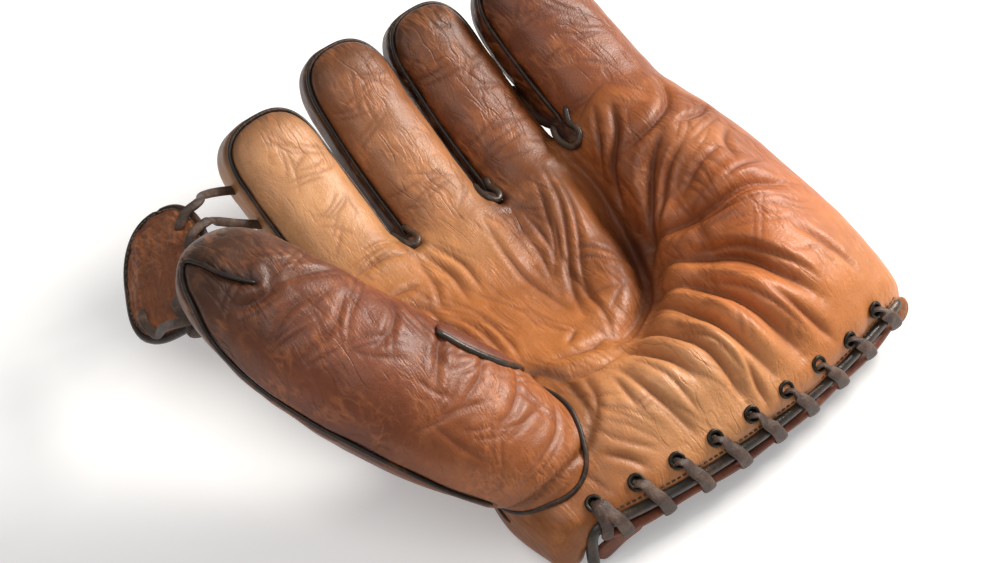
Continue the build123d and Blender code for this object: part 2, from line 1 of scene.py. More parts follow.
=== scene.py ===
"""Looks of a vintage five-finger fielder's glove for the left hand, lying open on its back.

One smooth body of the whole glove is grown from the palm and the five stalls, creased, and cut
into its leathers. Piping, bindings, laces and stitches then follow lines drawn on that body.
Shapes are worked out in millimetres, in the part's own frame, and made in metres.
"""
import bpy
import bmesh
import math
import numpy as np
from mathutils import Matrix, Vector, noise


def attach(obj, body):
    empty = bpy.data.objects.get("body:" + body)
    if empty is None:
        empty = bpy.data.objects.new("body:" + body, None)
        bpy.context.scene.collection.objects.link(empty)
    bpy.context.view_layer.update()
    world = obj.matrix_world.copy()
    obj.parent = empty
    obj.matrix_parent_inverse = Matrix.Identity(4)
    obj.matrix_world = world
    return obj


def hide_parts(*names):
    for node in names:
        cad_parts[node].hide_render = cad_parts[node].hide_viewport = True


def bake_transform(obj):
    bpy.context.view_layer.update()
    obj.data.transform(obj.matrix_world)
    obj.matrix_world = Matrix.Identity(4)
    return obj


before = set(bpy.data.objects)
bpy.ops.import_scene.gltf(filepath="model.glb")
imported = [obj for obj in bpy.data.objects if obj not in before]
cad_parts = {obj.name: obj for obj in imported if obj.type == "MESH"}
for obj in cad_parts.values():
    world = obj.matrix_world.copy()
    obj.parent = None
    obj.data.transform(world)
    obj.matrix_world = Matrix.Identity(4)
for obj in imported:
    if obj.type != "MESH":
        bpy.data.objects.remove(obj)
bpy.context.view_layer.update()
scene = bpy.context.scene
MM = 0.001
rng = np.random.RandomState(11)


# ---- camera, lamps and floor --------------------------------------------------------------
def add_camera():
    """Camera that looks down on the palm from the heel's thumb side."""
    camera = bpy.data.objects.new("camera", bpy.data.cameras.new("camera"))
    scene.collection.objects.link(camera)
    azimuth, elevation = math.radians(-38), math.radians(48)
    back = Vector((math.sin(azimuth) * math.cos(elevation),
                   -math.cos(azimuth) * math.cos(elevation), math.sin(elevation)))
    camera.location = Vector((-0.010, 0.010, 0.035)) + back
    camera.rotation_euler = back.to_track_quat("Z", "Y").to_euler()
    camera.data.lens = 88.2
    camera.data.clip_start = 0.01
    scene.camera = camera


def add_lamp(name, place, size, power, colour=(1, 1, 1)):
    """Square lamp that faces the middle of the glove."""
    lamp = bpy.data.objects.new(name, bpy.data.lights.new(name, "AREA"))
    scene.collection.objects.link(lamp)
    lamp.data.size, lamp.data.energy, lamp.data.color = size, power, colour
    lamp.location = place
    lamp.rotation_euler = Vector(place).to_track_quat("Z", "Y").to_euler()


# ---- the shape of the leather body, in millimetres ----------------------------------------
def smooth_steps(low, high, x):
    """0 below low, 1 above high and a smooth rise between them."""
    t = np.clip((x - low) / (high - low), 0, 1)
    return t * t * (3 - 2 * t)


def hermite(t, step, v0, v1, m0, m1):
    return ((2 * t**3 - 3 * t**2 + 1) * v0 + (t**3 - 2 * t**2 + t) * step * m0
            + (3 * t**2 - 2 * t**3) * v1 + (t**3 - t**2) * step * m1)


def along(knots, values, x):
    """Smooth curve through rows of values at knots, read at x."""
    knots, values = np.asarray(knots, float), np.asarray(values, float)
    slopes = np.gradient(values, knots, axis=0)
    i = np.clip(np.searchsorted(knots, x) - 1, 0, len(knots) - 2)
    step = knots[i + 1] - knots[i]
    t = np.clip((x - knots[i]) / step, 0, 1)
    if values.ndim > 1:
        t, step = t[:, None], step[:, None]
    return hermite(t, step, values[i], values[i + 1], slopes[i], slopes[i + 1])


def between(x, knots, rows):
    """Rows at knots, read at x with straight lines between them."""
    return np.stack([np.interp(x, knots, column) for column in np.asarray(rows, float).T], -1)


def outside(x, left, right):
    """Distance outside a span, below 0 within it."""
    return np.abs(x - (left + right) / 2) - (right - left) / 2


def unit(v):
    """Vectors of length 1 along v."""
    v = np.asarray(v, float)
    return v / np.linalg.norm(v, axis=-1, keepdims=True)


def soft_min(a, b, reach):
    """The lower of two distances, rounded where they are within reach of each other."""
    near = np.maximum(reach - np.abs(a - b), 0) / reach
    return np.minimum(a, b) - near * near * reach / 4


def rounded_corner(a, b, radius):
    """Distance outside the corner between two walls, rounded to a radius."""
    a, b = a + radius, b + radius
    return (np.minimum(np.maximum(a, b), 0) + np.hypot(np.maximum(a, 0), np.maximum(b, 0))
            - radius)


PLACES = np.array((0.08, 0.25, 0.42, 0.60, 0.78, 0.92))
# Palm from the heel forwards: y, left x, right x, height of the top at each of the six places.
PALM = np.array([
    (-118, -66, 127, 22, 23, 23, 23, 22, 21),
    (-101, -68, 128, 26, 30, 32, 33, 31, 27),
    (-76, -72, 129, 29, 41, 47, 50, 50, 40),
    (-45, -66, 128, 33, 37, 35, 44, 58, 49),
    (-10, -60, 126, 36, 33, 30, 36, 60, 54),
    (25, -68, 122, 36, 34, 33, 35, 59, 57),
    (66, -72, 115, 38, 38, 37, 40, 59, 53)], float)
PALM_END = 55.0                        # front end of the palm's body, inside the fingers
PALM_END_ROUND = 12.0
PALM_SHOULDER = (12, 13)               # its upper edge's radius, and how much more on the right
PALM_BACK_ROUND = 10
HEEL_ARC = (10.06, 244.93, 351.885)    # centre and radius of the heel edge in plan
UNDERCUT_Z, UNDERCUT = 15.0, 1.2       # the heel draws in below this height, by this slope
EDGE_Z = 21.0                          # lower edge of the palm's leather along the heel
SEAM_Z = 14.0                          # seam between the palm's front and back leathers
FINGER_CUT = 50.0                      # the fingers' skins start here
HEEL_SIDE = (-64.0, -42.0)             # from the second x to the first the heel hangs straight
HEEL_FLARE = 9.0                       # and reaches this far out at the floor
HEEL_OPENING = (-53.0, 116.0)          # between these the heel's wall is open below its edge
HEEL_OPENING_ROUND = 4
HEEL_ROUND = 6                         # radius between the palm's top and the heel's wall
OPEN_WALL = 1.5                        # how deep inside the wall the opening reaches
FINGER_WEB = 9                         # reach of the round between the palm and the fingers
THUMB_WEB = 5                          # and between the hand and the thumb


def palm_top(x, y):
    """Height of the palm's top over its plan, and the share of its breadth."""
    row = along(PALM[:, 0], PALM[:, 1:], y)
    share = (x - row[:, 0]) / (row[:, 1] - row[:, 0])
    heights = row[:, 2:]
    slopes = np.gradient(heights, PLACES, axis=1)
    i = np.clip(np.searchsorted(PLACES, share) - 1, 0, len(PLACES) - 2)
    n = np.arange(len(x))
    step = PLACES[i + 1] - PLACES[i]
    t = np.clip((share - PLACES[i]) / step, 0, 1)
    top = hermite(t, step, heights[n, i], heights[n, i + 1], slopes[n, i], slopes[n, i + 1])
    return top, share, row[:, 0], row[:, 1]


def heel_y(x):
    """The heel edge in plan."""
    return HEEL_ARC[1] - np.sqrt(HEEL_ARC[2]**2 - (np.asarray(x) - HEEL_ARC[0])**2)


def heel_distance(p):
    """Distance outside the heel's wall, which draws in below, and hangs out at its left end."""
    x, y, z = p.T
    out = np.hypot(x - HEEL_ARC[0], y - HEEL_ARC[1]) - HEEL_ARC[2]
    drawn_in = smooth_steps(*HEEL_SIDE, x)
    return (out + UNDERCUT * np.clip(UNDERCUT_Z - z, 0, 18) * drawn_in
            - HEEL_FLARE * np.clip(1 - z / EDGE_Z, 0, 1) * (1 - drawn_in))


def heel_gone(p):
    """Below 0 where the heel's wall is left out, under the palm leather's edge."""
    side = outside(p[:, 0], *HEEL_OPENING)
    return np.maximum(rounded_corner(side, p[:, 2] - EDGE_Z, HEEL_OPENING_ROUND),
                      -OPEN_WALL - heel_distance(p))


def palm_distance(p):
    x, y, z = p.T
    top, share, left, right = palm_top(x, y)
    side = outside(x, left, right)
    least, growth = PALM_SHOULDER
    upper = rounded_corner(side, z - top, least + growth * smooth_steps(0.2, 0.8, share))
    lower = rounded_corner(side, -z, PALM_BACK_ROUND)
    upper = rounded_corner(upper, heel_distance(p), HEEL_ROUND)
    return rounded_corner(np.maximum(upper, lower), y - PALM_END, PALM_END_ROUND)


class Stall:
    """A digit: a rounded tube round a bent centre line, with domed ends.

    heading and pitch are in degrees, at the start and the end. breadth and depth are half sizes
    at the given shares of the length. caps are the share where the start's dome ends, that
    dome's length and the share where the tip's dome begins; tip is how square that dome is.
    """

    def __init__(self, start, heading, pitch, length, shares, breadth, depth, caps, square, seam,
                 tip=2.7):
        self.length, self.shares, self.caps, self.tip = length, np.array(shares), caps, tip
        self.breadth, self.depth = np.array(breadth, float), np.array(depth, float)
        self.square, self.seam = square, seam
        count = 61
        self.s = np.linspace(0, 1, count)
        turn = np.radians(heading[0] + self.s * (heading[1] - heading[0]))
        rise = np.radians(pitch[0] + self.s * (pitch[1] - pitch[0]))
        self.ahead = np.stack([-np.sin(turn) * np.cos(rise), np.cos(turn) * np.cos(rise),
                               np.sin(rise)], 1)
        middle = (self.ahead[1:] + self.ahead[:-1]) / 2 * length / (count - 1)
        self.centre = np.array(start, float) + np.vstack([[0, 0, 0], np.cumsum(middle, 0)])
        self.across = unit(np.cross(self.ahead, (0, 0, 1)))
        self.front = np.cross(self.across, self.ahead)

    def place(self, p):
        """Local place of points: share of the length, and mm across and out of the front."""
        far = ((p[:, None, :] - self.centre[None, :, :])**2).sum(2)
        k = np.argmin(far, 1)
        step = self.length / (len(self.s) - 1)
        ahead = np.einsum("ij,ij->i", p - self.centre[k], self.ahead[k]) / step
        j = np.clip(k + np.sign(ahead).astype(int), 0, len(self.s) - 1)
        f = np.clip(np.abs(ahead), 0, 1)[:, None]
        centre = self.centre[k] * (1 - f) + self.centre[j] * f
        across = self.across[k] * (1 - f) + self.across[j] * f
        front = self.front[k] * (1 - f) + self.front[j] * f
        offset = p - centre
        return (self.s[k] + ahead / (len(self.s) - 1), np.einsum("ij,ij->i", offset, across),
                np.einsum("ij,ij->i", offset, front))

    def dome(self, share):
        """How far past its beginning a domed end is, of its length, and that length in mm."""
        first, first_length, last = self.caps
        past = (np.maximum((share - last) / (1 - last), 0)
                + np.maximum((first - share) / first_length, 0))
        return past, self.length * np.where(share > last, 1 - last,
                                            first_length * (share < first))

    def distance(self, p, local=None):
        share, u, v = self.place(p) if local is None else local
        breadth = along(self.shares, self.breadth, share)
        depth = along(self.shares, self.depth, share)
        n = self.square
        ring = (np.abs(u / breadth)**n + np.abs(v / depth)**n)**(1 / n)
        past, cap = self.dome(share)
        r = np.maximum((ring**self.tip + past**self.tip)**(1 / self.tip), 1e-3)
        reach = np.sqrt(u * u + v * v + (past * cap)**2)
        return (r - 1) * np.maximum(reach, 2) / r

    def at(self, share, u, v):
        """Point at a share of the length and mm across and out of the front."""
        share = np.asarray(share, float)
        pick = [between(share, self.s, way) for way in (self.centre, self.across, self.front)]
        past = (share - np.clip(share, 0, 1))[..., None] * self.length * self.ahead[-1]
        return (pick[0] + past + pick[1] * np.asarray(u)[..., None]
                + pick[2] * np.asarray(v)[..., None])


FINGER_SHARES = (0.0, 0.2, 0.45, 0.7)
SLIM = (19.4, 19.6, 20.0, 19.8)        # half breadths of the middle and ring fingers
STALLS = {
    "index_finger": Stall((-48, 44, 21), (2, 6), (14, 38), 94, FINGER_SHARES,
                          (19.6, 20.4, 21.6, 21.6), (17.5, 18, 18.5, 17.5),
                          (-0.15, 0.15, 0.74), 2.5, 8.5),
    "middle_finger": Stall((-3.5, 44, 21), (0, 2), (14, 38), 106, FINGER_SHARES,
                           SLIM, (17.5, 18, 18, 17), (-0.15, 0.15, 0.75), 2.5, 6.5),
    "ring_finger": Stall((39.5, 44, 21), (0, 3), (14, 38), 104, FINGER_SHARES,
                         SLIM, (17.5, 18, 18, 17), (-0.15, 0.15, 0.75), 2.5, 6.5),
    "little_finger": Stall((88.3, 44, 35), (2, 8), (14, 36), 95, FINGER_SHARES,
                           (25.6, 25.6, 25.6, 25.0), (22.5, 22, 21, 20),
                           (-0.15, 0.15, 0.70), 2.3, 5.0),
    "thumb": Stall((-35, -78, 20), (54, 11), (29, 16), 180,
                   (0.0, 0.16, 0.32, 0.5, 0.68, 0.85), (26, 28, 31, 31, 29, 26),
                   (18, 19.5, 23.5, 25.5, 24.4, 20.5), (0.24, 0.24, 0.78), 2.2, -6.0, 2.2),
}
FINGERS = [name for name in STALLS if name != "thumb"]


def hand_distance(p):
    """Distance outside the palm and the four fingers."""
    fingers = np.full(len(p), 1e3)
    for name in FINGERS:
        stall = STALLS[name]
        low, high = stall.centre.min(0) - 50, stall.centre.max(0) + 50
        near = ((p > low) & (p < high)).all(1)
        fingers[near] = np.minimum(fingers[near], stall.distance(p[near]))
    return np.maximum(soft_min(palm_distance(p), fingers, FINGER_WEB), -p[:, 2])


def body_distance(p):
    return soft_min(hand_distance(p), STALLS["thumb"].distance(p), THUMB_WEB)


def slope(field, p):
    """Value of a field at points, and its gradient there."""
    step = 0.25
    f = field(p)
    return f, np.stack([field(p + shift) - f for shift in np.eye(3) * step], 1) / step


def surface_normals(p):
    g = slope(body_distance, p)[1]
    return g / np.maximum(np.linalg.norm(g, axis=1), 1e-6)[:, None]


def settle(p, rounds, lift=0.0):
    """Moves points onto the body, or to a height over it."""
    for _ in range(rounds):
        f, g = slope(body_distance, p)
        size = np.maximum((g * g).sum(1), 0.05)
        move = np.clip((f - lift) / size, -4, 4)
        p = p - move[:, None] * g
    return p


def new_mesh(name, bm):
    mesh = bpy.data.meshes.new(name)
    bm.to_mesh(mesh)
    bm.free()
    return mesh


def add_object(name, mesh):
    obj = bpy.data.objects.new(name, mesh)
    scene.collection.objects.link(obj)
    return obj


def placed(ways, centre):
    """Matrix with the columns of ways, at a centre."""
    return Matrix([list(row) + [c] for row, c in zip(ways, centre)] + [[0, 0, 0, 1]])


def coordinates(mesh):
    co = np.empty(len(mesh.vertices) * 3)
    mesh.vertices.foreach_get("co", co)
    return co.reshape(-1, 3)


def finished(obj):
    """The object's mesh with its modifiers applied."""
    depsgraph = bpy.context.evaluated_depsgraph_get()
    mesh = bpy.data.meshes.new_from_object(obj.evaluated_get(depsgraph), depsgraph=depsgraph)
    obj.modifiers.clear()
    obj.data = mesh
    return mesh


SKIN_GRAIN = 1.9                       # size of the body's faces


def rough_body():
    """Rough closed body of the palm and the stalls, all one even skin."""
    bm = bmesh.new()
    grid = bmesh.ops.create_grid(bm, x_segments=26, y_segments=24, size=0.5)["verts"]
    co = np.array([v.co for v in grid])
    x = -64 + (co[:, 0] + 0.5) * 186
    y = heel_y(x) + 3 + (co[:, 1] + 0.5) * (PALM_END - 5 - heel_y(x))
    row = along(PALM[:, 0], PALM[:, 1:], y)
    x = row[:, 0] + 4 + (co[:, 0] + 0.5) * (row[:, 1] - row[:, 0] - 8)
    top = palm_top(x, y)[0]
    edge = 1 - np.abs(co[:, 0] * 2)**6
    for vert, a, b, c, e in zip(grid, x, y, top, edge):
        vert.co = (a, b, 4 + (c - 7) * (0.55 + 0.45 * e))
    deep = bmesh.ops.extrude_face_region(bm, geom=bm.faces[:], use_keep_orig=True)["geom"]
    for vert in [g for g in deep if isinstance(g, bmesh.types.BMVert)]:
        vert.co.z = 2.5
    bmesh.ops.recalc_face_normals(bm, faces=bm.faces)
    for stall in STALLS.values():
        for share in np.linspace(0.03, 0.97, 26):
            b = np.interp(share, stall.shares, stall.breadth)
            d = np.interp(share, stall.shares, stall.depth)
            round_off = math.sqrt(max(1 - float(stall.dome(share)[0])**2, 0.02))
            ways = np.stack([between(share, stall.s, way) for way in
                             (stall.across, stall.front, stall.ahead)], 1)
            scale = Matrix.Diagonal((max(b * round_off - 2, 2), max(d * round_off - 2, 2),
                                     6 * stall.length / 100, 1))
            bmesh.ops.create_icosphere(bm, subdivisions=3, radius=1,
                                       matrix=placed(ways, stall.at(share, 0.0, 0.0)) @ scale)
    obj = add_object("rough_body", new_mesh("rough_body", bm))
    remesh = obj.modifiers.new("even skin", "REMESH")
    remesh.mode, remesh.voxel_size = "VOXEL", SKIN_GRAIN
    mesh = finished(obj)
    bpy.data.objects.remove(obj)
    return mesh


def neighbour_average(p, edges, count):
    """Mean of each point's neighbours; count is how many it has."""
    total = np.zeros_like(p)
    for c in range(3):
        total[:, c] = (np.bincount(edges[:, 0], p[edges[:, 1], c], len(p))
                       + np.bincount(edges[:, 1], p[edges[:, 0], c], len(p)))
    return total / count[:, None]


def grow_body():
    """The smooth leather body as a mesh in millimetres."""
    mesh = rough_body()
    p = settle(coordinates(mesh), 5)
    edges = np.empty(len(mesh.edges) * 2, int)
    mesh.edges.foreach_get("vertices", edges)
    edges = edges.reshape(-1, 2)
    count = np.bincount(edges.ravel(), minlength=len(p)).astype(float)
    for _ in range(3):
        for _ in range(4):
            p = p * 0.5 + neighbour_average(p, edges, count) * 0.5
        p = settle(p, 2)
    mesh.vertices.foreach_set("co", p.ravel())
    mesh.update()
    return mesh, edges, count


# ---- lines on the body, folds and wear ----------------------------------------------------
def run_of(points):
    """How far along a line each of its points lies."""
    return np.concatenate([[0], np.cumsum(np.linalg.norm(np.diff(points, axis=0), axis=1))])


def smooth_path(points, spacing=1.5):
    """Evenly spaced points on a smooth line through the points."""
    knots = run_of(points)
    fine = along(knots, points, np.linspace(0, knots[-1], 400))
    run = run_of(fine)
    count = max(int(run[-1] / spacing), 4) + 1
    marks = np.linspace(0, run[-1], count)
    return between(marks, run, fine)


def on_body(points, lift=0.0, spacing=1.5):
    """Smooth line through the points, laid on the body or at a height over it."""
    path = settle(smooth_path(points, spacing), 6, lift)
    for _ in range(2):
        path[1:-1] = path[1:-1] * 0.5 + (path[2:] + path[:-2]) * 0.25
    return path


def on_palm(plan):
    """Line over the palm's top that is drawn in plan."""
    plan = np.asarray(plan, float)
    top = palm_top(plan[:, 0], plan[:, 1])[0]
    return on_body(np.column_stack([plan, top]))


def on_stall(name, local):
    """Line over a stall through points of share, mm across and mm out of the front."""
    share, u, v = np.asarray(local, float).T
    return on_body(STALLS[name].at(share, u, v))


def seam_line(name):
    """The stall's seam, up its left side, round its tip and down its right side."""
    stall = STALLS[name]
    cap = stall.caps[2]
    run = np.linspace(0.02, cap, 12)[:-1]
    round_tip = np.linspace(0, math.pi, 17)
    side = np.interp(run, stall.shares, stall.breadth)
    tip_side = side[-1] * np.sign(np.cos(round_tip)) * np.abs(np.cos(round_tip))**0.75
    tip_share = cap + (1 - cap) * np.sin(round_tip)**0.75
    share = np.concatenate([run, tip_share, run[::-1]])
    u = np.concatenate([-side, -tip_side, side[::-1]])
    return on_body(stall.at(share, u, np.full(len(u), stall.seam)))


def near_line(p, line, reach):
    """The points within reach of a line, with their distance and place along it."""
    near = np.flatnonzero(((p > line.min(0) - reach) & (p < line.max(0) + reach)).all(1))
    q = p[near]
    best, where = np.full(len(near), 1e9), np.zeros(len(near))
    for i, (a, b) in enumerate(zip(line[:-1], line[1:])):
        d = b - a
        t = np.clip((q - a) @ d / (d @ d), 0, 1)
        gap = np.linalg.norm(q - a - t[:, None] * d, axis=1)
        better = gap < best
        best[better], where[better] = gap[better], (i + t[better]) / (len(line) - 1)
    keep = best < reach
    return near[keep], best[keep], where[keep]


# Folds of the palm in plan: points, depth, width.
PALM_FOLDS = [
    (((52, 50), (53, 30), (50, 8), (44, -14), (34, -30), (20, -40), (4, -46)), 8.5, 7.0),
    (((50, 20), (47, 2), (42, -13), (32, -28), (20, -37), (8, -42)), 3.0, 2.2),
    (((46, -8), (58, -16), (74, -24), (92, -27), (108, -34)), 3.6, 3.4),
    (((58, -19), (74, -28), (91, -31), (104, -36)), 0.9, 1.3),
    (((43, -20), (54, -33), (66, -50), (71, -66), (80, -83)), 4.4, 4.2),
    (((56, -31), (70, -48), (76, -62), (84, -77)), 1.1, 1.4),
    (((34, -32), (46, -46), (51, -62), (54, -78), (60, -96)), 4.0, 3.8),
    (((50, -47), (56, -62), (60, -76), (66, -90)), 1.0, 1.3),
    (((30, -37), (35, -54), (38, -76), (44, -96)), 3.2, 3.2),
    (((16, -44), (22, -62), (26, -80), (28, -99)), 2.6, 3.0),
    (((22, -58), (30, -76), (33, -92)), 0.9, 1.3),
    (((5, -50), (10, -66), (15, -84)), 2.4, 3.0),
    (((1, -60), (5, -76), (8, -94)), 0.8, 1.3),
    (((-6, -58), (-4, -78), (2, -98)), 1.3, 2.2),
    (((36, -86), (35, -104)), 1.2, 1.8),
    (((62, -70), (70, -86), (76, -97)), 1.5, 2.4),
    (((92, -52), (100, -66), (106, -80)), 1.0, 2.0),
    (((82, 18), (70, 10), (61, -2), (52, -12), (42, -20)), 2.6, 2.8),
    (((86, 8), (73, 3), (64, -6), (56, -13)), 1.2, 1.4),
    (((96, -4), (82, -6), (70, -10)), 1.0, 1.6),
    (((57, -22), (70, -26), (80, -32), (96, -37)), 0.9, 1.4),
    (((81, -20), (93, -18), (108, -17)), 0.8, 1.6),
    (((76, 44), (70, 32), (60, 22), (52, 8)), 1.8, 2.0),
    (((70, 47), (64, 35), (54, 24)), 1.0, 1.3),
    (((41, 47), (36, 28), (27, 12), (15, -6), (6, -26)), 1.0, 1.6),
    (((45, 45), (40, 27), (32, 11), (22, -4), (14, -22)), 0.8, 1.4),
    (((36, 46), (30, 30), (22, 14), (12, 2)), 0.6, 1.2),
    (((20, 8), (17, -12), (12, -34), (6, -44)), 0.8, 1.5),
    (((26, 9), (38, -2)), 0.6, 1.2),
    (((24, 4), (37, -8)), 0.5, 1.2),
    (((16, 34), (15, 16), (10, 0)), 0.6, 1.2),
    (((22, 36), (21, 18), (17, 4)), 0.5, 1.2),
    (((12, -45), (-4, -46), (-17, -43), (-25, -37)), -1.6, 3.0),
    (((8, -38), (-6, -40), (-20, -36)), 1.0, 1.8),
    (((2, -52), (-12, -52), (-24, -47)), 1.2, 1.8),
    (((-10, -34), (-1, -28)), 0.8, 1.5),
    (((-17, -52), (-21, -65), (-28, -74)), 1.0, 1.8),
    (((-12, -80), (-10, -62)), 0.8, 1.7),
    (((-34, -84), (-26, -92), (-22, -98)), 0.9, 1.7),
    (((-58, 45), (-43, 46), (-35, 44)), 0.8, 1.6),
    (((-52, 29), (-38, 28)), 0.8, 1.5),
    (((-53, 24), (-42, 15), (-45, 0)), 0.9, 1.6),
    (((-50, 12), (-40, 3), (-38, -14)), 1.0, 1.5),
    (((-36, 8), (-32, -8), (-33, -24)), 1.0, 1.4),
    (((-28, 4), (-26, -12), (-28, -26)), 0.9, 1.3),
    (((-27, 42), (-23, 27), (-25, 10)), 0.9, 1.5),
    (((-21, 44), (-16, 28), (-17, 12)), 0.8, 1.4),
    (((-31, 40), (-32, 24), (-38, 12)), 0.8, 1.3),
    (((4, 41), (1, 16), (5, -17)), 0.8, 1.5),
    (((30, 24), (18, 4)), 0.7, 1.3),
    (((104, 44), (98, 32), (84, 24), (64, 24)), 1.8, 2.8),
    (((116, 24), (104, 18), (90, 18)), 1.2, 2.0),
    (((110, 6), (100, -2), (96, -14)), 0.9, 1.8),
]
# Folds of the thumb: share of its length, mm across and mm out of its front, then depth, width.
THUMB_FOLDS = [
    (((0.81, -1, 23), (0.79, -5.2, 23.6), (0.80, -15.2, 20.3), (0.83, -19.7, 15.8)), 1.6, 2.2),
    (((0.84, -4, 22.5), (0.845, 4, 23), (0.82, 9, 22)), -1.4, 3.4),
    (((0.79, -4, 24), (0.76, 8, 24), (0.71, 20, 19)), 0.9, 1.8),
    (((0.72, -22, 14), (0.73, -8, 23), (0.70, 6, 25)), 0.8, 1.7),
    (((0.66, -24, 14), (0.64, -8, 24), (0.66, 10, 24)), 0.7, 1.6),
    (((0.58, 22, 18), (0.54, 8, 25), (0.55, -8, 25)), 0.7, 1.7),
    (((0.45, 24, 17), (0.43, 6, 25), (0.40, -14, 22)), 0.9, 1.8),
    (((0.36, 24, 15), (0.33, 6, 23), (0.35, -12, 21)), 0.6, 1.6),
    (((0.25, 20, 14), (0.24, 2, 20), (0.27, -16, 15)), 0.8, 1.8),
    (((0.14, 14, 15), (0.13, -2, 17), (0.16, -16, 12)), 0.7, 1.7),
]


# Fine wrinkles: how many, shares of the stall's length, their lengths and their depths.
FINGER_WRINKLES = (16, (0.05, 0.92), (10, 28), (0.08, 0.2))
THUMB_WRINKLES = (45, (0.1, 0.9), (14, 40), (0.15, 0.4))
PALM_WRINKLES = 90
BULGE = 0.7                            # soft unevenness of all the leather


class Relief:
    """What is pressed into or raised on the skin, and the shade painted dark into its creases."""

    def __init__(self, p):
        self.p, self.shift, self.crease = p, np.zeros(len(p)), np.zeros(len(p))

    def press(self, line, depth, width, shade_strength=1.0, lips=0.35, fade=True):
        near, gap, share = near_line(self.p, line, 4 * width)
        strength = np.sin(math.pi * np.clip(share, 0.02, 0.98))**0.6 if fade else 1.0
        groove = np.exp(-(gap / width)**2) * strength
        lip = np.exp(-((gap - 2.2 * width) / (1.2 * width))**2) * strength
        self.shift[near] += -depth * groove + lips * depth * lip
        if depth > 0:
            # painted shade at the bottom of the groove, carried to the colour
            dark = np.exp(-(gap / (0.55 * width))**2) * strength * shade_strength
            self.crease[near] = np.maximum(self.crease[near], dark)

    def wrinkle(self, middle, along_way, length, depth, width):
        """A few short bent wrinkles beside each other about a point of the body."""
        bend = rng.uniform(-0.25, 0.25) * length
        out = surface_normals(middle[None])[0]
        across = unit(np.cross(out, along_way))
        for k in range(rng.randint(1, 3)):
            centre = middle + across * (k * rng.uniform(2.6, 4.0)) + along_way * rng.normal(0, 2)
            size = length * (1 - 0.2 * k)
            ends = [centre - along_way * size / 2, centre + across * bend / 3,
                    centre + along_way * size / 2]
            self.press(on_body(ends), depth * (1 - 0.2 * k), width, shade_strength=0.6)


def random_wrinkles(relief, stall, count, shares, length, depth):
    """Fine wrinkles over the front of a stall, mostly across it."""
    for _ in range(count):
        share = rng.uniform(*shares)
        breadth = np.interp(share, stall.shares, stall.breadth)
        u = rng.uniform(-0.75, 0.75) * breadth
        v = math.sqrt(max(1 - (u / breadth)**2, 0.05)) * np.interp(share, stall.shares,
                                                                   stall.depth)
        middle = stall.at(share, u, v)
        k = int(share * (len(stall.s) - 1))
        turn = rng.normal(0, 0.5) + (math.pi / 2 if rng.uniform() < 0.25 else 0)
        way = stall.across[k] * math.cos(turn) + stall.ahead[k] * math.sin(turn)
        relief.wrinkle(middle, way, rng.uniform(*length), rng.uniform(*depth),
                       rng.uniform(1.1, 1.6))


def palm_wrinkles(relief):
    """Fine wrinkles scattered over the palm, along and across the pocket's crease."""
    for _ in range(PALM_WRINKLES):
        x, y = rng.uniform(-50, 112), rng.uniform(-90, 44)
        top = palm_top(np.array([x]), np.array([y]))[0][0]
        turn = math.atan2(y + 25, x - 40) if x > 42 else 1.95
        turn += rng.normal(0, 0.22) + (1.4 if rng.uniform() < 0.2 else 0)
        way = np.array((math.cos(turn), math.sin(turn), 0.0))
        relief.wrinkle(np.array((x, y, top)), way, rng.uniform(12, 38), rng.uniform(0.10, 0.28),
                       rng.uniform(1.2, 1.8))


def srgb(*values):
    """Linear colour of an 8-bit display colour."""
    v = np.array(values, float) / 255
    return np.where(v <= 0.04045, v / 12.92, ((v + 0.055) / 1.055)**2.4)


PALM_HIDE = (176, 104, 50)
# Wear of the hide, with painted light and shade: centre, reach and display colour of each soft
# patch, and its strength.
# The dark patches about the pocket's crease and under the ring finger are painted shade over
# burnish; the pale ones on the heel are painted light.
PALM_WEAR_LIGHT_AND_SHADE = [
    ((98, -45, 45), 58, (186, 100, 50), 0.9),
    ((108, -88, 28), 44, (204, 132, 76), 0.8),
    ((98, 8, 58), 34, (124, 60, 32), 0.85),
    ((70, 24, 50), 26, (112, 56, 28), 0.75),
    ((24, 8, 32), 20, (140, 80, 42), 0.7),
    ((-10, -10, 30), 42, (182, 112, 56), 0.6),
    ((46, -6, 34), 17, (96, 46, 24), 0.85),
    ((32, -28, 34), 14, (104, 52, 26), 0.7),
    ((-16, 40, 37), 20, (226, 160, 100), 0.8),
    ((26, 46, 38), 20, (118, 68, 38), 0.8),
    ((-58, -88, 24), 30, (132, 80, 42), 0.8),
    ((20, -84, 33), 44, (204, 134, 80), 0.75),
    ((-5, -45, 34), 12, (198, 124, 60), 0.7),
    ((-45, 20, 38), 20, (150, 90, 46), 0.5),
    ((12, -3, 32), 18, (132, 76, 40), 0.75),
    ((94, 7, 62), 15, (198, 128, 82), 0.8),
    ((-6, -78, 36), 22, (232, 170, 118), 0.7),
    ((20, -92, 32), 30, (236, 178, 124), 0.6),
    ((18, 33, 35), 14, (116, 66, 36), 0.8),
    ((56, -68, 52), 18, (216, 130, 74), 0.8),
]
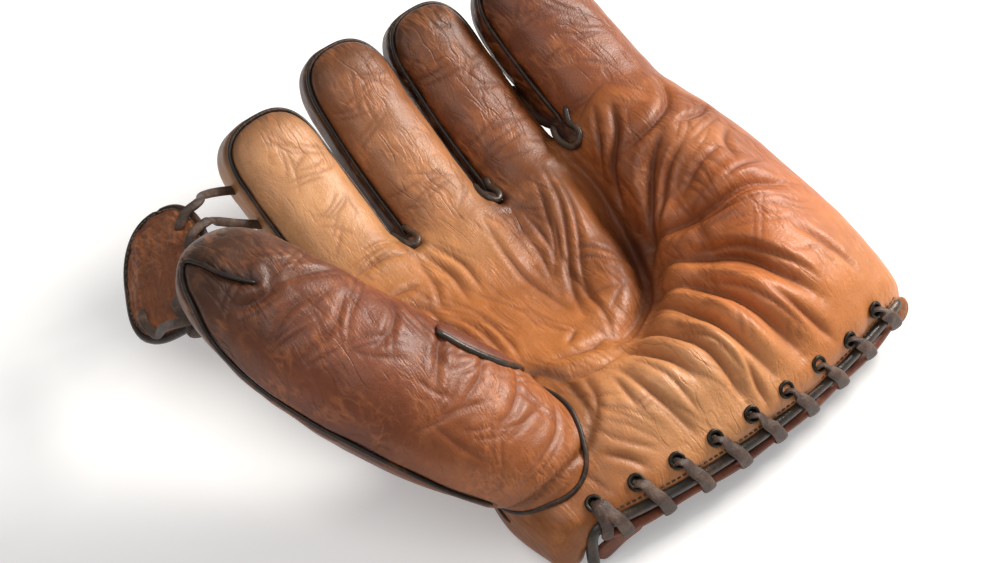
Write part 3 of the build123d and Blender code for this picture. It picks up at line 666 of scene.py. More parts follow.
# Hides of the stalls, with a painted highlight on the thumb: display colours at shares of the
# length.
STALL_HIDE_AND_HIGHLIGHT = {
    "index_finger": ((0.0, (196, 136, 84)), (0.45, (214, 156, 106)), (0.8, (208, 150, 102)),
                     (1.0, (110, 74, 48))),
    "middle_finger": ((0.0, (184, 126, 80)), (0.4, (180, 122, 80)), (0.75, (156, 98, 60)),
                      (1.0, (100, 62, 38))),
    "ring_finger": ((0.0, (130, 76, 40)), (0.4, (126, 68, 34)), (0.75, (120, 66, 32)),
                    (1.0, (82, 50, 30))),
    "little_finger": ((0.0, (134, 72, 36)), (0.35, (132, 70, 36)), (0.7, (126, 66, 34)),
                      (1.0, (84, 44, 26))),
    # The thumb's paler stop at 0.62 is a painted highlight along its top.
    "thumb": ((0.0, (178, 108, 60)), (0.25, (172, 100, 56)), (0.45, (126, 66, 38)),
              (0.62, (142, 80, 54)), (0.8, (106, 62, 42)), (1.0, (76, 56, 42))),
}
# Painted shade on the back of each stall: how bright it is beside its front.
STALL_BACK_SHADE = {"index_finger": 0.8, "thumb": 0.72, "middle_finger": 0.4, "ring_finger": 0.36,
              "little_finger": 0.62}
BACK_HIDE = (140, 84, 46)
SEAM_SHADE = (4.5, 0.45)               # reach and strength of the dark along the seams


def hide_colours_with_painted_light(p, seams):
    """Colour of the hide at each vertex, worn and burnished as hands leave it, with painted light
    and shade from its patches, the thumb's highlight and the stalls' shaded backs.
    """
    colour = np.tile(srgb(*PALM_HIDE), (len(p), 1))
    for centre, reach, shade, strength in PALM_WEAR_LIGHT_AND_SHADE:
        weight = strength * np.exp(-((p - centre)**2).sum(1) / reach**2)
        colour += weight[:, None] * (srgb(*shade) - colour)
    hand = palm_distance(p)
    for name, stops in STALL_HIDE_AND_HIGHLIGHT.items():
        stall = STALLS[name]
        share, u, v = stall.place(p)
        away = stall.distance(p, (share, u, v))
        weight = smooth_steps(7, -5, away - hand) * smooth_steps(4, 1, away)
        shade = between(share, [s for s, _ in stops], [srgb(*c) for _, c in stops])
        # painted shade: the stall's back, below its seam, darker than its front
        back = smooth_steps(stall.seam + 1, stall.seam - 2, v)[:, None]
        shade = shade * (1 - back) + back * (STALL_BACK_SHADE[name] * shade)
        colour += weight[:, None] * (shade - colour)
    under = smooth_steps(20, 10, p[:, 2])[:, None]
    colour += under * 0.7 * (srgb(*BACK_HIDE) - colour)
    reach, strength = SEAM_SHADE
    for line in seams:
        near, gap, _ = near_line(p, line, 2.5 * reach)
        colour[near] *= (1 - strength * np.exp(-(gap / reach)**1.5))[:, None]
    return colour


# ---- cutting the leathers -----------------------------------------------------------------
PALM_LABEL, BACK_LABEL, THUMB_LABEL, FIRST_FINGER, GONE = 0, 1, 2, 3, 9
BACK_OPENING = ((-30, 98), -34, 12)    # sides, front end and corner radius of the open back
BACK_DEPTH = 8                         # the opening goes through the leather below this height
HEEL_BAND = 8                          # within this of the heel's wall a gap is the heel's own


def thumb_field(p):
    """Above 0 on the thumb's leather."""
    return hand_distance(p) - STALLS["thumb"].distance(p)


def opening_field(p):
    """Below 0 inside the open back of the wrist."""
    sides, front, radius = BACK_OPENING
    return rounded_corner(outside(p[:, 0], *sides), p[:, 1] - front, radius)


def label_faces(centres):
    """Which leather each face of the body belongs to."""
    labels = np.where(centres[:, 2] < SEAM_Z, BACK_LABEL, PALM_LABEL)
    gone = heel_gone(centres) < 0
    gone |= (opening_field(centres) < 0) & (centres[:, 2] < BACK_DEPTH)
    labels[gone] = GONE
    beyond = np.flatnonzero(centres[:, 1] > FINGER_CUT)
    nearest = np.argmin([STALLS[name].distance(centres[beyond]) for name in FINGERS], 0)
    labels[beyond] = FIRST_FINGER + nearest
    labels[thumb_field(centres) > 0] = THUMB_LABEL
    return labels


def cut_field(low, high):
    """Field whose zero line parts two neighbouring leathers."""
    if THUMB_LABEL in (low, high):
        return thumb_field
    if high == GONE:
        return lambda p: np.where(heel_distance(p) > -HEEL_BAND, heel_gone(p),
                                  opening_field(p))
    if high >= FIRST_FINGER and low >= FIRST_FINGER:
        a, b = STALLS[FINGERS[low - FIRST_FINGER]], STALLS[FINGERS[high - FIRST_FINGER]]
        return lambda p: a.distance(p) - b.distance(p)
    if high >= FIRST_FINGER:
        return lambda p: p[:, 1] - FINGER_CUT
    return lambda p: p[:, 2] - SEAM_Z


def slide(p, normal, field):
    """Slides points along the skin onto the zero line of a field."""
    for _ in range(3):
        f, g = slope(field, p)
        g -= (g * normal).sum(1)[:, None] * normal
        size = np.maximum((g * g).sum(1), 0.1)
        p = p - np.clip(f / size, -1.2, 1.2)[:, None] * g
    return p


def vertex_normals(mesh, p):
    mesh.vertices.foreach_set("co", p.ravel())
    mesh.update()
    normal = np.empty(p.size)
    mesh.vertex_normals.foreach_get("vector", normal)
    return normal.reshape(-1, 3)


def halve_faces(mesh, p, labels):
    """The body with each face made into four, its vertices and their labels."""
    mesh.vertices.foreach_set("co", p.ravel())
    obj = add_object("fine_body", mesh)
    finer = obj.modifiers.new("finer", "SUBSURF")
    finer.levels = finer.render_levels = 1
    fine = finished(obj)
    bpy.data.objects.remove(obj)
    return fine, coordinates(fine).astype(float), np.repeat(labels, 4)


def label_body(mesh, edges, count):
    """Labels of the faces, and the body's vertices with their borders drawn clean."""
    corners = np.empty(len(mesh.loops), int)
    mesh.loops.foreach_get("vertex_index", corners)
    quads = corners.reshape(-1, 4)
    p = coordinates(mesh).astype(float)
    labels = label_faces(p[quads].mean(1))
    low, high = np.full(len(p), 99), np.full(len(p), -1)
    for k in range(4):
        np.minimum.at(low, quads[:, k], labels)
        np.maximum.at(high, quads[:, k], labels)
    border = low != high
    for _ in range(2):
        normal = vertex_normals(mesh, p)
        for pair in sorted(set(zip(low[border].tolist(), high[border].tolist()))):
            chosen = np.flatnonzero((low == pair[0]) & (high == pair[1]))
            p[chosen] = slide(p[chosen], normal[chosen], cut_field(*pair))
        relaxed = settle(p * 0.5 + neighbour_average(p, edges, count) * 0.5, 1)
        p[~border] = relaxed[~border]
    return p, labels


def make_skin_body():
    """The creased, coloured body with its faces labelled, in metres, and the seams on it."""
    mesh, edges, count = grow_body()
    p, labels = label_body(mesh, edges, count)
    mesh, p, labels = halve_faces(mesh, p, labels)
    seams = {name: seam_line(name) for name in FINGERS}
    seams["thumb"] = on_stall("thumb", THUMB_SEAM)
    seams["thumb_root"] = on_body(THUMB_ROOT)
    relief = Relief(p)
    for plan, depth, width in PALM_FOLDS:
        line = on_palm(plan)
        relief.press(line, depth, width)
        if depth > 1:
            # narrow second groove whose painted shade draws a sharp dark line in the fold
            relief.press(line, 0.3 + 0.12 * depth, 1.1, shade_strength=1.0, lips=0.5)
    for local, depth, width in THUMB_FOLDS:
        relief.press(on_stall("thumb", local), depth, width, shade_strength=0.7)
    for line in seams.values():
        relief.press(line, 1.0, 1.8, shade_strength=0.3, fade=False)
    palm_wrinkles(relief)
    for name in FINGERS + ["thumb"]:
        random_wrinkles(relief, STALLS[name], *(THUMB_WRINKLES if name == "thumb" else
                                                FINGER_WRINKLES))
    normal = vertex_normals(mesh, p)
    bulge = np.array([noise.fractal(Vector(q * 0.035), 0.9, 2.1, 3) for q in p])
    below = smooth_steps(3, 12, p[:, 2])       # the flat that the glove rests on stays flat
    colour = hide_colours_with_painted_light(p, seams.values())
    p = p + normal * ((relief.shift + BULGE * bulge) * below)[:, None]
    normal = vertex_normals(mesh, p)
    mesh.vertices.foreach_set("co", (p * MM).ravel())
    colour = np.column_stack([colour, np.ones(len(p))])
    # the crease attribute carries the shade painted into the creases
    for name, kind, key, values in (("hide", "FLOAT_COLOR", "color", colour),
                                    ("crease", "FLOAT", "value", relief.crease),
                                    ("hide_normal", "FLOAT_VECTOR", "vector", normal)):
        layer = mesh.attributes.new(name, kind, "POINT")
        layer.data.foreach_set(key, np.asarray(values, np.float32).ravel())
    mesh.update()
    return mesh, labels, seams


# The thumb's seam, from its front round the tip: share of the length, mm across and mm out.
THUMB_SEAM = ((0.82, -7.2, 22.5), (0.85, -9.2, 20.8), (0.89, -11, 17.8), (0.94, -11.2, 14),
              (0.975, -13, 9), (0.95, -18, 7.5), (0.89, -22.5, 5.5), (0.83, -26.3, 0),
              (0.73, -28, -4.5), (0.60, -29.8, -4), (0.49, -31, -2.2), (0.37, -31.2, -2.5),
              (0.28, -29.4, -4.5), (0.2, -26.5, -5.5))
# The seam round the thumb's root, from the pocket to the heel's left corner.
THUMB_ROOT = ((-42, -42, 51), (-35, -39, 43), (-29, -37, 35), (-24, -47, 37),
              (-25, -60, 39), (-29, -72, 39), (-37, -78, 36), (-52, -83, 38), (-64, -84, 35),
              (-74, -79, 28), (-82, -72, 20), (-84, -66, 13))
ROOT_LEAD = 12                         # its first points, which lie over the thumb's edge


def root_line():
    """The thumb's root seam, laid in the crease between the thumb and the palm."""
    path = settle(smooth_path(THUMB_ROOT, 2.0), 6)
    seam = smooth_steps(0, ROOT_LEAD, np.arange(len(path)))[:, None]
    for _ in range(4):
        path += seam * (slide(path, surface_normals(path), thumb_field) - path)
        path = settle(path, 2)
        path[1:-1] = path[1:-1] * 0.5 + (path[2:] + path[:-2]) * 0.25
    return path


# ---- pieces -------------------------------------------------------------------------------
THUMB_BEND = (0.46, 0.68)              # shares of the thumb between which its leather bends
FINGER_BEND = (16, 5)                  # length and rise of the bend at a finger's root


def bend_of(body):
    """Start and end, in millimetres, of the leather that bends between the palm and a digit."""
    stall = STALLS[body]
    if body == "thumb":
        return [stall.at(share, 0.0, 0.0) for share in THUMB_BEND]
    x, _, z = stall.centre[0]
    return [(x, FINGER_CUT, z), (x, FINGER_CUT + FINGER_BEND[0], z + FINGER_BEND[1])]


def dress(obj, material, slot, body, bends=False, replaces=(), fill=None):
    """Gives an object its finish and smooth faces, bakes its place into its mesh if it is marked
    to bend or else attaches it to its body, and hides the parts that it replaces.
    """
    obj.data.materials.clear()
    obj.data.materials.append(material)
    obj.data.polygons.foreach_set("use_smooth", [True] * len(obj.data.polygons))
    if bends:
        start, end = (Vector(q) * MM for q in bend_of(body))
        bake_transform(obj)
    else:
        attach(obj, body)
    if replaces:
        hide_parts(*replaces)
    return obj


def piece(name, bm, material, slot, body, **how):
    """Finishes a bmesh in millimetres as a piece of the glove."""
    bmesh.ops.scale(bm, vec=(MM, MM, MM), verts=bm.verts)
    bmesh.ops.recalc_face_normals(bm, faces=bm.faces)
    return dress(add_object(name, new_mesh(name, bm)), material, slot, body, **how)


WALL = 2.0                             # thickness of the leather


def skin(name, body_mesh, labels, wanted, slot, body, **how):
    """One leather of the glove: its part of the body, with a wall inwards."""
    bm = bmesh.new()
    bm.from_mesh(body_mesh)
    bm.faces.ensure_lookup_table()
    others = [f for f in bm.faces if labels[f.index] != wanted]
    bmesh.ops.delete(bm, geom=others, context="FACES")
    obj = add_object(name, new_mesh(name, bm))
    count = len(obj.data.vertices)
    solid = obj.modifiers.new("wall", "SOLIDIFY")
    solid.thickness, solid.offset = WALL * MM, -1
    mesh = finished(obj)
    mesh.name = name
    p = coordinates(mesh)
    p[:, 2] = np.maximum(p[:, 2], 0)
    mesh.vertices.foreach_set("co", p.ravel())
    normal = np.empty(len(mesh.vertices) * 3, np.float32)
    mesh.attributes["hide_normal"].data.foreach_get("vector", normal)
    normal = normal.reshape(-1, 3)
    normal[count:] *= -1
    mesh.attributes.remove(mesh.attributes["hide_normal"])
    dress(obj, HIDE, slot, body, **how)
    mesh.normals_split_custom_set_from_vertices(normal.tolist())
    return obj


def stations(path, facing, wide, thick, taper):
    """Section frames along a path: across, thin way and ahead, as matrices."""
    ahead = unit(np.gradient(path, axis=0))
    across = unit(np.cross(ahead, facing))
    facing = np.cross(across, ahead)
    count = len(path)
    frames = []
    for i in range(count):
        left = min(i, count - 1 - i)
        size = math.sqrt(1 - (1 - (left + 0.35) / taper)**2) if left < taper else 1.0
        columns = np.stack([across[i] * wide * size, facing[i] * thick * size, ahead[i]], 1)
        frames.append(placed(columns, path[i]))
    return frames


def sweep(bm, path, facing, wide, thick, segments=8, taper=2):
    """Rounded strip along a path, with half sizes wide and thick; its thin way is facing."""
    frames = stations(np.asarray(path), facing, wide, thick, taper)
    ring = bmesh.ops.create_circle(bm, segments=segments, radius=1, matrix=frames[0])["verts"]
    edges = list({e for v in ring for e in v.link_edges})
    caps = [list(edges)]
    for before, after in zip(frames[:-1], frames[1:]):
        geom = bmesh.ops.extrude_edge_only(bm, edges=edges)["geom"]
        ring = [g for g in geom if isinstance(g, bmesh.types.BMVert)]
        fresh = set(ring)
        edges = [g for g in geom if isinstance(g, bmesh.types.BMEdge)
                 and g.verts[0] in fresh and g.verts[1] in fresh]
        bmesh.ops.transform(bm, matrix=after @ before.inverted(), verts=ring)
    for loop in caps + [edges]:
        bmesh.ops.contextual_create(bm, geom=loop)


def strip(name, path, facing, wide, thick, material, slot, body, segments=8, taper=3, **how):
    """One swept strip as a piece."""
    bm = bmesh.new()
    sweep(bm, path, facing, wide, thick, segments, taper)
    piece(name, bm, material, slot, body, **how)


# ---- finishes -----------------------------------------------------------------------------
class Value:
    """An output of a node, which takes part in sums."""

    def __init__(self, nodes, socket):
        self.nodes, self.socket = nodes, socket

    def __add__(self, other):
        return self.nodes.sum("ADD", self, other)

    def __sub__(self, other):
        return self.nodes.sum("SUBTRACT", self, other)

    def __rsub__(self, other):
        return self.nodes.sum("SUBTRACT", other, self)

    def __mul__(self, other):
        return self.nodes.sum("MULTIPLY", self, other)

    def __abs__(self):
        return self.nodes.sum("ABSOLUTE", self)

    def clear_of(self, low, high):
        """0 below low and 1 above high, smooth between."""
        node = self.nodes.node("ShaderNodeMapRange", {"interpolation_type": "SMOOTHSTEP"},
                               Value=self)
        node.inputs["From Min"].default_value = low
        node.inputs["From Max"].default_value = high
        return Value(self.nodes, node.outputs[0])

    __radd__, __rmul__ = __add__, __mul__


class Nodes:
    """The nodes of a material or of the world."""

    def __init__(self, owner):
        owner.use_nodes = True
        self.tree = owner.node_tree

    def node(self, kind, settings=None, **inputs):
        node = self.tree.nodes.new(kind)
        for key, value in (settings or {}).items():
            setattr(node, key, value)
        for key, value in inputs.items():
            self.feed(node.inputs[key], value)
        return node

    def feed(self, place, value):
        if isinstance(value, Value):
            value = value.socket
        if isinstance(value, bpy.types.NodeSocket):
            self.tree.links.new(value, place)
        else:
            place.default_value = value

    def sum(self, operation, *terms, kind="ShaderNodeMath"):
        """The outcome of an operation on sockets and numbers."""
        node = self.node(kind, {"operation": operation})
        for place, term in zip(node.inputs, terms):
            self.feed(place, term)
        return Value(self, node.outputs[0])


class Finish(Nodes):
    """A material under construction."""

    def __init__(self, name, **surface):
        self.material = bpy.data.materials.new(name)
        super().__init__(self.material)
        self.surface = self.tree.nodes["Principled BSDF"]
        self.place = self.node("ShaderNodeTexCoord").outputs["Object"]
        self.set(**surface)

    def set(self, **surface):
        for key, value in surface.items():
            self.feed(self.surface.inputs[key.replace("_", " ")], value)

    def noise(self, scale, detail=3.0, rough=0.55, place=None):
        node = self.node("ShaderNodeTexNoise", Vector=place or self.place, Scale=scale,
                         Detail=detail, Roughness=rough)
        return Value(self, node.outputs["Fac"])

    def cells(self, scale):
        node = self.node("ShaderNodeTexVoronoi", Vector=self.place, Scale=scale)
        return Value(self, node.outputs["Distance"])

    def streaks(self, place, turn, scale, breadth):
        """1 on thin wandering lines, where a stretched noise crosses its middle."""
        mapped = self.node("ShaderNodeMapping", Vector=place, Rotation=turn, Scale=scale)
        cloud = self.noise(1.0, 2.0, 0.5, mapped.outputs[0])
        return 1 - abs(cloud - 0.5).clear_of(0.0, breadth)

    def attribute(self, name, output="Fac"):
        return self.node("ShaderNodeAttribute", {"attribute_name": name}).outputs[output]

    def mix(self, factor, a, b, blend="MIX"):
        node = self.node("ShaderNodeMix", {"data_type": "RGBA", "blend_type": blend})
        self.feed(node.inputs[0], factor)
        self.feed(node.inputs[6], a)
        self.feed(node.inputs[7], b)
        return node.outputs[2]

    def warped(self, scale, size):
        """The place, shifted by a soft noise."""
        cloud = self.node("ShaderNodeTexNoise", Vector=self.place, Scale=scale, Detail=3.0)
        centred = self.sum("SUBTRACT", cloud.outputs["Color"], (0.5, 0.5, 0.5),
                           kind="ShaderNodeVectorMath")
        sized = self.node("ShaderNodeVectorMath", {"operation": "SCALE"}, Vector=centred,
                          Scale=size)
        return self.sum("ADD", self.place, sized.outputs[0],
                        kind="ShaderNodeVectorMath").socket

    def bump(self, height, distance):
        node = self.node("ShaderNodeBump", Height=height, Distance=distance, Strength=1.0)
        self.set(Normal=node.outputs["Normal"])


def colour4(*values):
    return (*srgb(*values), 1.0)


def hide_finish(name, hide=None, rough=0.42, wrinkles=1.0, blotch=1.0):
    """Old cowhide: clouded and burnished colour, pores, fine wrinkles and a worn shine.

    Without a hide colour, it takes the colour from the mesh, worn and with painted light and
    shade, and the shade painted into its creases.
    """
    f = Finish(name, Specular_IOR_Level=0.4)
    painted = hide is None
    base = f.attribute("hide", "Color") if painted else colour4(*hide)
    warp = f.warped(24, 0.014)
    cloud, blot = f.noise(26, 4), f.noise(110, 5, 0.65)
    fibre = f.noise(520, 4, 0.7)
    creases = f.streaks(warp, (0.3, 0.1, 0.7), (90, 16, 50), 0.035)
    creases = creases + f.streaks(warp, (0.1, 0.5, -0.8), (100, 15, 50), 0.030)
    hairs = f.streaks(warp, (0.4, 0.2, 0.2), (240, 40, 120), 0.07)
    hairs = hairs + f.streaks(warp, (-0.2, 0.3, 1.5), (260, 44, 130), 0.07)
    creases = creases * f.noise(38, 2).clear_of(0.45, 0.62)
    hairs = hairs * f.noise(60, 2).clear_of(0.42, 0.60)
    pores = f.cells(1150)
    dark = f.mix(1.0, base, (0.40, 0.30, 0.25, 1), "MULTIPLY")
    pale = f.mix(0.30, base, colour4(226, 142, 84))
    colour = f.mix(cloud.clear_of(0.38, 0.70) * 0.42 * blotch, base, dark)
    colour = f.mix(blot.clear_of(0.50, 0.75) * 0.40 * blotch, colour, pale)
    colour = f.mix(fibre.clear_of(0.50, 0.75) * 0.26, colour, dark)
    colour = f.mix(creases * 0.22 * wrinkles, colour, dark)
    colour = f.mix(hairs * 0.45 * wrinkles, colour, pale)
    height = pores * 0.10 + fibre * 0.22 + blot * 0.3
    height = height - creases * 0.24 * wrinkles - hairs * 0.10 * wrinkles
    if painted:
        crease = Value(f, f.attribute("crease"))
        # painted shade in the creases, from the mesh's crease attribute
        colour = f.mix(crease * 0.85, colour, dark)
        height = height - crease * 0.4
        roughness = blot * 0.26 + crease * 0.2 + (rough - 0.13)
    else:
        roughness = blot * 0.26 + (rough - 0.13)
    f.set(Base_Color=colour, Roughness=roughness)
    f.bump(height, 0.0006)
    return f.material


def lace_finish(name, hide, rough=0.5):
    """Rawhide lacing: dull, with pale rubbed flats and fine fibres."""
    f = Finish(name)
    base = colour4(*hide)
    fibre, cloud = f.noise(900, 4, 0.7), f.noise(140, 3)
    pale = f.mix(0.35, base, colour4(170, 135, 112))
    dark = f.mix(1.0, base, (0.4, 0.36, 0.34, 1), "MULTIPLY")
    colour = f.mix(cloud.clear_of(0.45, 0.7) * 0.7, base, pale)
    colour = f.mix(fibre.clear_of(0.5, 0.72) * 0.5, colour, dark)
    f.set(Base_Color=colour, Roughness=cloud * 0.2 + (rough - 0.1))
    f.bump(fibre + cloud, 0.0004)
    return f.material


def metal_finish(name, colour, rough):
    f = Finish(name, Metallic=1.0)
    tarnish = f.noise(500, 4)
    stain = f.mix(tarnish.clear_of(0.4, 0.7) * 0.7, colour4(*colour),
                  colour4(*(c * 0.45 for c in colour)))
    f.set(Base_Color=stain, Roughness=tarnish * 0.3 + rough)
    f.bump(tarnish, 0.0002)
    return f.material


FLOOR_GLOW = 0.30                      # what lifts the paper to white under the camera
SKY_LIGHT = 0.26


def add_floor():
    """White paper that stays white under the camera and keeps the glove's shadow."""
    bm = bmesh.new()
    bmesh.ops.create_grid(bm, x_segments=1, y_segments=1, size=4)
    mesh = new_mesh("floor", bm)
    mesh.materials.append(bpy.data.materials.new("white_paper"))
    paper = Nodes(mesh.materials[0])
    paper.tree.nodes.clear()
    rays = paper.node("ShaderNodeLightPath").outputs
    seen = paper.sum("MAXIMUM", rays["Is Camera Ray"], rays["Is Glossy Ray"])
    glow = paper.node("ShaderNodeEmission", Strength=seen * FLOOR_GLOW)
    matt = paper.node("ShaderNodeBsdfDiffuse", Color=(0.8, 0.8, 0.8, 1))
    both = paper.node("ShaderNodeAddShader")
    paper.feed(both.inputs[0], matt.outputs[0])
    paper.feed(both.inputs[1], glow.outputs[0])
    paper.node("ShaderNodeOutputMaterial", Surface=both.outputs[0])
    add_object("floor", mesh)


def add_world():
    """Even light from all round, and full white where the camera sees it."""
    scene.world = bpy.data.worlds.new("studio")
    sky = Nodes(scene.world)
    seen = sky.node("ShaderNodeLightPath").outputs["Is Camera Ray"]
    light = sky.tree.nodes["Background"].inputs
    light["Color"].default_value = (1, 1, 1, 1)
    sky.feed(light["Strength"], sky.sum("MULTIPLY_ADD", seen, 1 - SKY_LIGHT, SKY_LIGHT))


add_camera()
add_lamp("key", (0.82, -0.02, 0.66), 0.40, 14, (1.0, 0.96, 0.90))
add_lamp("fill", (-0.4, -0.1, 1.1), 0.8, 4, (1.0, 0.98, 0.95))
add_floor()
add_world()
scene.view_settings.view_transform = "Standard"

HIDE = hide_finish("worn_cowhide")
BINDING = hide_finish("rolled_binding", (62, 56, 50), rough=0.32, wrinkles=0.4, blotch=0.6)
PIPING = hide_finish("dark_piping", (40, 32, 27), rough=0.45, wrinkles=0.3, blotch=0.5)
EDGE = hide_finish("red_brown_edge", (122, 66, 46), rough=0.45, wrinkles=0.4)
# near-black gusset hide, partly painted shade between the fingers
GUSSET_SHADE = hide_finish("gusset_and_painted_shade", (46, 24, 17), rough=0.6, wrinkles=0.6)
LACE = lace_finish("heel_lacing", (72, 52, 43))
WEB_LACE = lace_finish("web_lacing", (66, 48, 38))
LINING = hide_finish("soft_lining", (110, 72, 46), rough=0.7, wrinkles=0.6)
WEB_HIDE = hide_finish("web_cowhide", (126, 74, 46), rough=0.45, wrinkles=1.2)
STRAP_HIDE = hide_finish("strap_cowhide", (150, 92, 50), rough=0.5)
THREAD = lace_finish("waxed_thread", (70, 52, 40), rough=0.6)
EYELET = metal_finish("blackened_brass", (70, 64, 58), 0.3)
SNAP = metal_finish("aged_brass", (176, 148, 92), 0.25)

body_mesh, labels, seams = make_skin_body()
seams["thumb_root"] = root_line()

skin("palm_leather_skin", body_mesh, labels, PALM_LABEL, "palm_leather", "palm",
     replaces=("palm_leather", "palm_pad"), fill=0.8)
skin("back_leather_skin", body_mesh, labels, BACK_LABEL, "palm_leather", "palm",
     replaces=("back_leather",))
skin("thumb_skin", body_mesh, labels, THUMB_LABEL, "thumb_leather", "thumb", bends=True, fill=0.9,
     replaces=("thumb_front_leather", "thumb_back_leather", "thumb_felt", "thumb_lining"))
for number, name in enumerate(FINGERS):
    padding = ("little_finger_felt",) if name == "little_finger" else ()
    skin(name + "_skin", body_mesh, labels, FIRST_FINGER + number, "digit_leather", name,
         bends=True, fill=0.85 if padding else 0.5,
         replaces=tuple(name + part for part in ("_front_leather", "_back_leather", "_lining"))
         + padding)


def add_piping():
    """Round piping in every seam."""
    for name in FINGERS + ["thumb"]:
        strip(name + "_piping", seams[name], surface_normals(seams[name]), 1.0, 1.0, PIPING,
              "welt", name, bends=True, replaces=(name + "_welt",))
    line = seams["thumb_root"]
    strip("thumb_root_piping", line, surface_normals(line), 1.15, 1.15, PIPING, "welt", "palm",
          replaces=("thumb_seam_welt",))


def drop(x, y, start=95.0):
    """Point of the body's top over a place in plan, found from above it."""
    p = np.array([(x, y, start)])
    for _ in range(60):
        p[0, 2] -= 0.7 * body_distance(p)[0]
    return p[0]


# Shift to the side, bottom, front end of the gusset, and how far that end lies below the top.
# The gussets' dark sheets also paint the shade in the gaps between the fingers; the third reaches
# far forward to fill its gap with that dark.
CROTCHES = ((0, 46.5, 76, 18), (-1.0, 46.5, 76, 18), (-3.0, 43.5, 96, 8))
CROTCH_FRONT = 60                      # how far forward the bindings reach


def add_crotches():
    """Turned bindings round the palm's edge between the fingers, and the gusset in each, a dark
    sheet that also paints the shade between them.
    """
    rolls, gussets = bmesh.new(), bmesh.new()
    for (left, right), (shift, low, end, sink) in zip(zip(FINGERS, FINGERS[1:]), CROTCHES):
        first, second = STALLS[left], STALLS[right]
        middle = (first.centre[0][0] + first.breadth[0] + second.centre[0][0]
                  - second.breadth[0]) / 2
        half = [(3.4, CROTCH_FRONT), (3.4, low + 9), (3.3, low + 5), (2.5, low + 1.5)]
        plan = [(-a, b) for a, b in half] + [(0, low)] + half[::-1]
        base = middle + shift
        line = np.array([drop((middle if b == CROTCH_FRONT else base) + a, b)
                         for a, b in plan])
        line[:4, 2] = np.maximum(line[:4, 2], line[4, 2] - 2.5)
        line[5:, 2] = np.maximum(line[5:, 2], line[4, 2] - 2.5)
        line = smooth_path(line + (0, 0, 0.6), 1.0)
        sweep(rolls, line, surface_normals(line), 1.5, 1.5, taper=3)
        fall = [drop(base, low + d) + (0, 0, lift) for d, lift in ((0.6, 0.9), (4, 1.2), (8, 1.0))]
        top = fall[-1][2]
        ways = list(surface_normals(np.array(fall))) + [(0, 0.6, 0.8)] * 3
        fall = np.vstack([fall, [(middle, 61, top - 0.35 * sink),
                                 (middle, 67, top - 0.7 * sink), (middle, end, top - sink)]])
        path = smooth_path(fall, 1.0)
        share = np.linspace(0, len(fall) - 1, len(path))
        facing = between(share, range(len(fall)), ways)
        sweep(gussets, path, facing, 3.4, 0.8, taper=2)
    piece("crotch_binding_rolls", rolls, BINDING, "welt", "palm", replaces=("crotch_bindings",))
    piece("crotch_gussets_and_shade", gussets, GUSSET_SHADE, "lining", "palm")


def add_side_piping():
    """Piping in the seam between the palm's front and back leathers, on both sides."""
    bm = bmesh.new()
    for side in (-74, 128):
        line = on_body([(side, y, SEAM_Z) for y in (-76, -45, -10, 20, 46)])
        sweep(bm, line, surface_normals(line), 1.0, 1.0, taper=3)
    piece("palm_side_piping", bm, PIPING, "welt", "palm", replaces=("palm_side_welt",))


# The tongue: a small flap that runs down over the thumb's edge to the bottom of the pocket.
TONGUE = ((-67, -23, 76), (-59, -31, 69), (-52, -37, 62), (-45, -39, 55), (-40, -37, 48))
TONGUE_EDGE = ((-69, -25, 76), (-62, -34, 71), (-55, -40, 65), (-48, -43, 58), (-42, -42, 51),
               (-37.5, -38, 46), (-38, -34, 47), (-43, -33, 52))


def add_tongue():
    line = on_body(TONGUE, lift=1.1)
    strip("pocket_tongue", line, surface_normals(line), 4.6, 1.1, EDGE, "palm_leather", "palm",
          segments=12, taper=5)
    line = on_body(TONGUE_EDGE, lift=0.9, spacing=1.0)
    strip("tongue_piping", line, surface_normals(line), 1.5, 1.3, BINDING, "welt", "palm",
          taper=4)


def heel_point(x, out, z):
    """Point of the heel edge at x, at a distance outside the edge in plan."""
    x = np.asarray(x, float)
    y = heel_y(x)
    way = np.stack([x - HEEL_ARC[0], y - HEEL_ARC[1]], -1) / HEEL_ARC[2]
    return np.stack([x + way[..., 0] * out, y + way[..., 1] * out,
                     np.broadcast_to(z, x.shape).astype(float)], -1)


EYELET_X = [-49 + 19 * i for i in range(9)]
EYELET_SETBACK = 4.6
# The lace's way from one eyelet to the next: along the heel, out of its edge, height, and the
# side that its flat faces. Heights under 10 are over the leather.
LACE_WAY = (((0.0, -4.6, -3.0), (-0.3, 0.9, 0.2)), ((0.5, -3.9, 0.7), (-0.3, 0.8, 0.5)),
            ((1.8, -2.6, 1.5), (-0.1, 0.2, 1.0)), ((4.0, 0.4, 26.4), (0.1, -0.4, 1.0)),
            ((6.4, 3.4, 23.6), (0.1, -0.8, 0.7)), ((8.6, 4.8, 19.0), (0, -1, 0.2)),
            ((10.4, 4.9, 14.6), (0, -1, -0.3)), ((12.0, 1.6, 11.2), (0, -0.3, -1)),
            ((14.4, -3.6, 12.4), (0, 0.4, -1)), ((17.4, -5.4, 17.5), (-0.1, 1, -0.2)))


def lace_path():
    """The heel lace's line and the side that its flat faces along it."""
    route, facing = [], []
    for x in EYELET_X:
        for (dx, out, z), way in LACE_WAY:
            q = heel_point([x + dx], out, z if z > 10 else 30.0)
            route.append(q[0] if z > 10 else settle(q, 6, z)[0])
            facing.append(way)
    route, facing = route[:-1], facing[:-1]
    path = smooth_path(route, 1.0)
    share = run_of(route)
    return path, between(np.linspace(0, share[-1], len(path)), share, facing)


